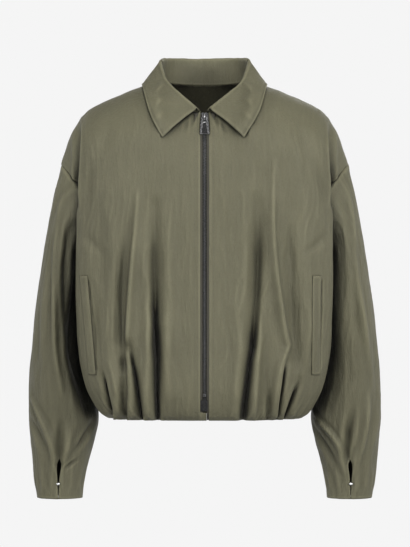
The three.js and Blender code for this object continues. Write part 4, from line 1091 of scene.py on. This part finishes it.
# Rounded plates at the zip's lower end: half their width and height, the corner's radius, how
# thick they are, the bevel and the height that they sit at.
ZIP_PLATES = {
    "zip_stop": (2.9, 3, 0.8, 3.2, 0.45, -494.4),
    "box_low": (3, 11.4, 0.8, 2.6, 0.35, -509.4),
    "box_band": (4.4, 1.6, 0.6, 3.3, 0.35, -504.6),
    "box_rib": (1, 6, 0.6, 3.2, 0.3, -512.0),
    "box_foot": (4.4, 1.4, 0.5, 3.2, 0.3, -519.3),
}


def zip_plate(name):
    wide, high, radius, thick, bevel, z = ZIP_PLATES[name]
    corners = [(-wide, -high), (wide, -high), (wide, high), (-wide, high)]
    return plate(name, [rounded(corners, radius)], thick, bevel, zip_frame(z))


def zip_end():
    """The metal stop and the dark box at the lower end of the zip."""
    place(zip_plate("zip_stop"), "zip_metal")
    film = [(-6.8, -8.6), (4.9, -8.6), (4.9, 8.6), (-6.8, 8.6)]
    box = [zip_plate("box_low"), plate("box_film", [rounded(film, 0.8)], 2.0, 0.2, zip_frame(-511.4))]
    box += [zip_plate(name) for name in ("box_band", "box_rib", "box_foot")]
    place(joined("zip_box_metal", box), "zip_metal", "zip_box", material="dark_metal")


SLIDER_FRAME = Matrix((
    (1, 0, 0, 0),
    (0, 0.44775, -0.89416, -90.694),
    (0, 0.89416, 0.44775, -47.317),
    (0, 0, 0, 1),
))
PULL_AT = {"up": -2.7, "out": 4.2, "lean": 5.0}


def slider():
    """The slider: two plates joined by a wedge, side lips and an arched crown."""
    shield = [
        (-5.2, 6.6), (-1.7, 6.9), (0, 5.9), (1.7, 6.9), (5.2, 6.6),
        (5.3, 1.5), (4.3, -6.9), (-4.3, -6.9), (-5.3, 1.5),
    ]
    wedge = [(-1.5, 6.4), (1.5, 6.4), (0.5, 1.8), (-0.5, 1.8)]
    parts = [
        plate("plate_front", [rounded(shield, 1.2)], 1.2, 0.35, SLIDER_FRAME, middle=2.1),
        plate("plate_back", [rounded(shield, 1.2)], 1.2, 0.35, SLIDER_FRAME, middle=-2.1),
        plate("wedge", [rounded(wedge, 0.5)], 3.4, 0.1, SLIDER_FRAME),
    ]
    for side in (1, -1):
        lip = [(side * 5.25, 1.6), (side * 4.4, -6.7), (side * 3.5, -6.7), (side * 4.3, 1.6)]
        lip = lip if side < 0 else lip[::-1]
        for middle in (1.15, -1.15):
            parts.append(plate("lip", [rounded(lip, 0.3)], 1.0, 0.2, SLIDER_FRAME, middle=middle))
    obj = joined("slider_body", parts)
    place(obj, "zip_metal", "slider", material="bright_metal")
    crown_rows = []
    for turn in np.linspace(0, math.pi, 25):
        c, s_ = math.cos(turn), math.sin(turn)
        centre = np.array([0, -0.6 + 5.05 * c, 2.3 + 4.8 * s_])
        out = np.array([0, c, s_])
        wide = 1.55 - 0.25 * s_
        thick = 0.65
        ring = [
            (-wide, -thick), (-wide, 0.3 * thick), (-0.6 * wide, thick),
            (0.6 * wide, thick), (wide, 0.3 * thick), (wide, -thick),
        ]
        crown_rows.append([centre + np.array([x, 0, 0]) + out * h for x, h in ring])
    crown = tube("slider_crown", np.array(crown_rows), SLIDER_FRAME)
    place(crown, "zip_metal", material="bright_metal")


def tube(name, rows, frame_matrix):
    """A closed tube of equal sections with flat ends."""
    high, wide = rows.shape[:2]
    verts = [tuple((frame_matrix @ Vector(v)) * MM) for v in rows.reshape(-1, 3)]
    faces = []
    for i in range(high - 1):
        for j in range(wide):
            k = (j + 1) % wide
            faces.append((i * wide + j, i * wide + k, (i + 1) * wide + k, (i + 1) * wide + j))
    faces.append(tuple(range(wide - 1, -1, -1)))
    faces.append(tuple((high - 1) * wide + j for j in range(wide)))
    obj = mesh_object(name, verts, faces)
    outward(obj)
    return obj


def pull_tab():
    """The flared tab: raised silver rims round a sunk dark middle, hung from a bar."""
    lean = Matrix.Rotation(math.radians(PULL_AT["lean"]), 4, "X")
    at = SLIDER_FRAME @ Matrix.Translation((0, PULL_AT["up"], PULL_AT["out"])) @ lean
    rim = [
        (-4.8, 0.85), (4.8, 0.85), (5.8, -0.4), (6.2, -5), (8, -28.4),
        (6.8, -30), (-6.8, -30), (-8, -28.4), (-6.2, -5), (-5.8, -0.4),
    ]
    slot = [(-2, -0.85), (-2, -7.9), (2, -7.9), (2, -0.85)]
    sunk = [(-2.2, -10.0), (-4.7, -29.3), (4.7, -29.3), (2.2, -10.0)]
    outlines = [rounded(rim, 1.0), rounded(slot, 0.9), rounded(sunk, 1.0)]
    frame_plate = plate("pull_rim", outlines, 1.9, 0.5, at)
    place(frame_plate, "zip_metal", "pull_tab", body="pull", material="bright_metal")
    web_outline = [(-2.7, -9.6), (2.7, -9.6), (5.1, -29.6), (-5.1, -29.6)][::-1]
    web = plate("pull_web", [rounded(web_outline, 0.8)], 0.9, 0.1, at)
    place(web, "zip_metal", body="pull", material="dark_metal")


def cuff_hook(name, node):
    """A small domed oval that holds the slit together, with a raised boss on it."""
    low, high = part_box(node)
    centre = (np.array(low) + np.array(high)) / 2 / MM
    up = np.array([0, 0.13, 0.99]) / np.linalg.norm([0, 0.13, 0.99])
    n = np.cross([1.0, 0, 0], up)
    m = Matrix.Identity(4)
    for k, axis in enumerate(([1.0, 0, 0], up, n)):
        for j in range(3):
            m[j][k] = axis[j]
    m.translation = Vector(centre)
    parts = [
        plate(name + "_oval", [ellipse(3.0, 1.9)], 1.5, 0.6, m),
        plate(name + "_boss", [ellipse(1.5, 0.9)], 2.3, 0.5, m),
    ]
    place(joined(name, parts), "silver", node)


# Materials

def principled(name, **sockets):
    """A material whose even values are set on the shader's own sockets."""
    material = bpy.data.materials.new(name)
    material.use_nodes = True
    shader = material.node_tree.nodes["Principled BSDF"]
    for key, value in sockets.items():
        shader.inputs[key.replace("_", " ")].default_value = value
    return material, material.node_tree, shader


def node(tree, kind, **values):
    made = tree.nodes.new(kind)
    for key, value in values.items():
        if hasattr(made, key):
            setattr(made, key, value)
        else:
            made.inputs[key.replace("_", " ")].default_value = value
    return made


def stretched(tree, scale, rotation=(0, 0, 0)):
    """Coordinates in the part's own frame, stretched by a scale for each axis."""
    place_node = tree.nodes.new("ShaderNodeTexCoord")
    mapping = tree.nodes.new("ShaderNodeMapping")
    mapping.inputs["Scale"].default_value = scale
    mapping.inputs["Rotation"].default_value = rotation
    tree.links.new(place_node.outputs["Object"], mapping.inputs["Vector"])
    return mapping.outputs["Vector"]


def ramp(tree, source, stops):
    made = tree.nodes.new("ShaderNodeValToRGB")
    elements = made.color_ramp.elements
    elements[0].position, elements[0].color = stops[0]
    elements[1].position, elements[1].color = stops[-1]
    for position, colour in stops[1:-1]:
        element = elements.new(position)
        element.color = colour
    tree.links.new(source, made.inputs["Fac"])
    return made.outputs["Color"]


def bumped(tree, shader, layers):
    """Adds bumps one on another. Each is a height, a strength and a depth in metres."""
    below = None
    for height, strength, distance in layers:
        bump = tree.nodes.new("ShaderNodeBump")
        bump.inputs["Strength"].default_value = strength
        bump.inputs["Distance"].default_value = distance
        tree.links.new(height, bump.inputs["Height"])
        if below:
            tree.links.new(below, bump.inputs["Normal"])
        below = bump.outputs["Normal"]
    tree.links.new(below, shader.inputs["Normal"])


def noise_node(tree, vector, scale, detail=3.0, roughness=0.55):
    made = node(tree, "ShaderNodeTexNoise", Scale=scale, Detail=detail, Roughness=roughness)
    tree.links.new(vector, made.inputs["Vector"])
    return made.outputs["Fac"]


def wave_node(tree, vector, scale, direction):
    made = node(tree, "ShaderNodeTexWave", Scale=scale, Distortion=0.0)
    made.bands_direction = direction
    tree.links.new(vector, made.inputs["Vector"])
    return made.outputs["Fac"]


def product(tree, a, b):
    made = node(tree, "ShaderNodeMath")
    made.operation = "MULTIPLY"
    tree.links.new(a, made.inputs[0])
    tree.links.new(b, made.inputs[1])
    return made.outputs["Value"]


def grey(level):
    return (level, level, level, 1.0)


def scaled(colour, by):
    return (colour[0] * by, colour[1] * by, colour[2] * by, 1.0)


# Sockets of a Mix node that mixes colours: its two colours, and the colour that comes out.
MIX_FIRST = 6
MIX_SECOND = 7
MIX_RESULT = 2


def multiplied(tree, a, b):
    """One colour times another."""
    made = tree.nodes.new("ShaderNodeMix")
    made.data_type = "RGBA"
    made.blend_type = "MULTIPLY"
    made.inputs["Factor"].default_value = 1.0
    tree.links.new(a, made.inputs[MIX_FIRST])
    tree.links.new(b, made.inputs[MIX_SECOND])
    return made.outputs[MIX_RESULT]


def painted_shade(tree, samples, distance, stops):
    """A painted shade in the base colour for the places that the cloth within this distance keeps light
    from.
    """
    made = tree.nodes.new("ShaderNodeAmbientOcclusion")
    made.samples = samples
    made.inputs["Distance"].default_value = distance
    return ramp(tree, made.outputs["AO"], [(position, grey(level)) for position, level in stops])


OLIVE = (0.179, 0.1695, 0.1045)
TAPE_COLOUR = (0.085, 0.078, 0.055)
THREAD_COLOUR = (0.13, 0.125, 0.083)
WEAVE = 1250.0  # threads for each metre, as waves
# Painted highlight: how much the cloth's base colour is brightened on sharp ridges and edges by the mesh's
# pointiness, with a little painted shade in its hollows.
CREST_HIGHLIGHT_STOPS = [(0.46, 0.9), (0.5, 1.0), (0.54, 1.4), (0.6, 1.1), (0.68, 1.0)]


def cloth_material():
    """Thin washed synthetic cloth: a fine weave, long faint crinkles and cloudy wear, with a painted
    highlight on its ridges and painted shade in its creases and hollows.
    """
    material, tree, shader = principled(
        "cloth", Sheen_Weight=0.1, Sheen_Roughness=0.4, Sheen_Tint=(0.95, 0.93, 0.8, 1.0),
        Specular_IOR_Level=0.28)
    even = stretched(tree, (1, 1, 1))
    clouds = noise_node(tree, even, 9.0, 4.0)
    washed = [(0.28, scaled(OLIVE, 0.9)), (0.5, (*OLIVE, 1.0)), (0.74, scaled(OLIVE, 1.12))]
    base = ramp(tree, clouds, washed)
    speckle = noise_node(tree, stretched(tree, (900, 900, 420)), 1.0, 2.0)
    fine = ramp(tree, speckle, [(0.3, grey(0.86)), (0.7, grey(1.0))])
    # Painted highlight on ridges and edges and slight painted shade in hollows, from the mesh's pointiness,
    # multiplied into the cloudy wear and speckle.
    pointed = tree.nodes.new("ShaderNodeNewGeometry").outputs["Pointiness"]
    crest_highlight = ramp(tree, pointed, [(position, grey(level)) for position, level in CREST_HIGHLIGHT_STOPS])
    wear_and_crest_highlight = multiplied(tree, multiplied(tree, base, fine), crest_highlight)
    # Painted shade: the base colour is darkened, nearly to black, in deep folds, between the sleeves and the
    # body and inside the neck, where the cloth keeps light from itself.
    near = painted_shade(tree, 6, 0.045, [(0.14, 0.02), (0.5, 0.38), (0.88, 1.0)])
    far = painted_shade(tree, 4, 0.4, [(0.02, 0.05), (0.3, 0.4), (0.62, 1.0)])
    shaded = multiplied(tree, wear_and_crest_highlight, multiplied(tree, near, far))
    tree.links.new(shaded, shader.inputs["Base Color"])
    crinkle = noise_node(tree, stretched(tree, (210, 210, 34)), 1.0, 4.0, 0.6)
    tree.links.new(ramp(tree, crinkle, [(0.3, grey(0.52)), (0.7, grey(0.68))]), shader.inputs["Roughness"])
    small = noise_node(tree, stretched(tree, (520, 520, 150)), 1.0, 3.0, 0.55)
    warp = wave_node(tree, even, WEAVE / math.tau, "X")
    weft = wave_node(tree, even, WEAVE / math.tau, "Z")
    weave = product(tree, warp, weft)
    bumped(tree, shader, [(crinkle, 0.6, 0.0035), (small, 0.8, 0.0011), (weave, 0.3, 0.0001)])
    return material


def thread_material():
    material, tree, shader = principled("thread", Roughness=0.6, Sheen_Weight=0.2)
    twist = noise_node(tree, stretched(tree, (1, 1, 1), (0.6, 0, 0.4)), 1900.0, 2.0)
    colours = [(0.3, scaled(THREAD_COLOUR, 0.8)), (0.7, scaled(THREAD_COLOUR, 1.2))]
    tree.links.new(ramp(tree, twist, colours), shader.inputs["Base Color"])
    bumped(tree, shader, [(twist, 0.4, 0.0001)])
    return material


def tape_material():
    """Woven tape: upright ribs with a slanting weave over them."""
    material, tree, shader = principled("tape", Roughness=0.75, Sheen_Weight=0.15)
    ribs = wave_node(tree, stretched(tree, (1, 0, 0)), 160.0, "X")
    slant = wave_node(tree, stretched(tree, (1, 1, 1), (0, 0.7, 0)), 260.0, "X")
    both_ways = product(tree, ribs, slant)
    colours = [(0.0, scaled(TAPE_COLOUR, 0.72)), (1.0, scaled(TAPE_COLOUR, 1.15))]
    tree.links.new(ramp(tree, both_ways, colours), shader.inputs["Base Color"])
    bumped(tree, shader, [(both_ways, 0.6, 0.0003)])
    return material


def metal_material(name, dark, light, rough, scratch=0.25):
    """Plated metal, mottled by wear, with fine scratches."""
    material, tree, shader = principled(name, Metallic=1.0)
    mottle = noise_node(tree, stretched(tree, (1, 1, 1)), 420.0, 3.0, 0.6)
    colours = ramp(tree, mottle, [(0.35, grey(dark)), (0.65, grey(light))])
    tree.links.new(colours, shader.inputs["Base Color"])
    lines = noise_node(tree, stretched(tree, (2600, 500, 260)), 1.0, 2.0)
    gloss = ramp(tree, lines, [(0.3, grey(rough[0])), (0.7, grey(rough[1]))])
    tree.links.new(gloss, shader.inputs["Roughness"])
    bumped(tree, shader, [(lines, scratch, 0.00005)])
    return material


def stage_material():
    return principled(
        "studio", Base_Color=(0, 0, 0, 1.0), Roughness=1.0, Specular_IOR_Level=0.0,
        Emission_Color=(1, 1, 1, 1), Emission_Strength=0.913)[0]


MATERIALS = {
    "cloth": cloth_material(),
    "thread": thread_material(),
    "zip_tape": tape_material(),
    "zip_metal": metal_material("dark_metal", 0.045, 0.09, (0.4, 0.6)),
    "dark_metal": metal_material("sunk_metal", 0.02, 0.045, (0.4, 0.6)),
    "bright_metal": metal_material("bright_metal", 0.14, 0.30, (0.2, 0.38)),
    "silver": metal_material("silver", 0.6, 0.78, (0.16, 0.32), 0.15),
}


# Studio

FLOOR_Z = -0.95
STUDIO = {"floor": 5.0, "bend": 1.8, "top": 3.0}


def studio():
    """A pale floor that bends up all round into a plain backdrop."""
    profile = [(0.001, FLOOR_Z), (STUDIO["floor"], FLOOR_Z)]
    for turn in np.linspace(0, math.pi / 2, 16)[1:]:
        r = STUDIO["floor"] + STUDIO["bend"] * math.sin(turn)
        profile.append((r, FLOOR_Z + STUDIO["bend"] * (1 - math.cos(turn))))
    profile.append((profile[-1][0], STUDIO["top"]))
    around = 96
    verts = []
    for r, z in profile:
        for j in range(around):
            turn = 2 * math.pi * j / around
            verts.append((r * math.cos(turn), r * math.sin(turn), z))
    faces = []
    for i in range(len(profile) - 1):
        for j in range(around):
            k = (j + 1) % around
            faces.append((i * around + j, i * around + k, (i + 1) * around + k, (i + 1) * around + j))
    faces.append(tuple(range(around)))
    obj = mesh_object("studio", verts, faces, smooth_shading=True)
    obj.data.materials.append(stage_material())
    obj.visible_diffuse = False


# Lights: place, what they aim at, width and height in metres, and power in watts.
LIGHT_COLUMNS = ("name", "at", "aim", "size", "power")
LIGHTS = [
    ("key", (0.4, -3.3, 1.5), (0, 0, -0.2), (1.0, 0.8), 54),
    ("low", (0.1, -3.2, -0.9), (0, 0, -0.4), (1.0, 0.8), 13),
    ("left side", (-2.6, -1.9, 0.4), (0, 0, -0.3), (0.8, 1.0), 27),
    ("right side", (2.6, -1.9, 0.4), (0, 0, -0.3), (0.8, 1.0), 36),
    ("top", (0.0, -0.4, 2.1), (0, 0, -0.2), (1.0, 0.8), 10),
    ("back", (0.4, 2.9, 0.9), (0, 0, -0.35), (1.4, 1.4), 20),
]


def lights():
    for row in LIGHTS:
        light = dict(zip(LIGHT_COLUMNS, row))
        data = bpy.data.lights.new(light["name"], "AREA")
        data.shape = "RECTANGLE"
        data.size, data.size_y = light["size"]
        data.energy = light["power"]
        obj = bpy.data.objects.new(light["name"], data)
        obj.location = light["at"]
        way = Vector(light["aim"]) - Vector(light["at"])
        obj.rotation_euler = way.to_track_quat("-Z", "Y").to_euler()
        bpy.context.scene.collection.objects.link(obj)
    world = bpy.data.worlds.new("world")
    world.use_nodes = True
    background = world.node_tree.nodes["Background"]
    background.inputs["Color"].default_value = (0.95, 0.97, 1.0, 1.0)
    background.inputs["Strength"].default_value = 0.1
    bpy.context.scene.world = world


# The camera looks straight at the front from 4 m, level with the middle of the jacket.
CAMERA = {"at": (0.00066, -4.0, -0.2995), "field": 0.90255, "sensor": 36.0}


def camera():
    data = bpy.data.cameras.new("camera")
    data.sensor_fit = "VERTICAL"
    data.sensor_height = CAMERA["sensor"]
    data.lens = CAMERA["sensor"] * -CAMERA["at"][1] / CAMERA["field"]
    data.clip_end = 60
    obj = bpy.data.objects.new("camera", data)
    obj.location = CAMERA["at"]
    obj.rotation_euler = (math.pi / 2, 0, 0)
    bpy.context.scene.collection.objects.link(obj)
    bpy.context.scene.camera = obj


# The whole jacket

camera()
studio()
lights()
bpy.context.scene.view_settings.view_transform = "Standard"

SIDES = ((-1, "right"), (1, "left"))
fronts = {side: front_panel(f"front_{word}_cloth", f"front_{word}", side) for side, word in SIDES}
back_panel()
for side, word in SIDES:
    sleeve(f"sleeve_{word}_cloth", f"sleeve_{word}", side)
collar_p = collar()

for w in WELTS:
    welt(finder(fronts[w["side"]][0]), w)
for side, word in SIDES:
    zip_tape(f"tape_{word}", f"zip_tape_{word}", side)
    cuff_hook(f"hook_{word}", f"cuff_hook_{word}")
zip_teeth()
zip_end()
slider()
pull_tab()

for side, word in SIDES:
    p = fronts[side][1]
    rise = p[:, 20, 2]
    above = slice(*(int(np.argmax(rise > z)) for z in ZIP_STITCH_Z))
    lines = [inset_line(p, side, "first", d, above) for d in ZIP_STITCHES[side]]
    arm = slice(int(np.argmax(p[:, -1, 2] > UNDERARM_Z)), -2)
    lines.append(inset_line(p, side, "last", SEAM_STITCH, arm))
    lines.append(inset_line(p, side, "top", SEAM_STITCH, slice(45, -2)))
    stitches(f"front_{word}_stitches", lines)
stitches("collar_stitches", [inset_line(collar_p, 1, "top", COLLAR_STITCH)])
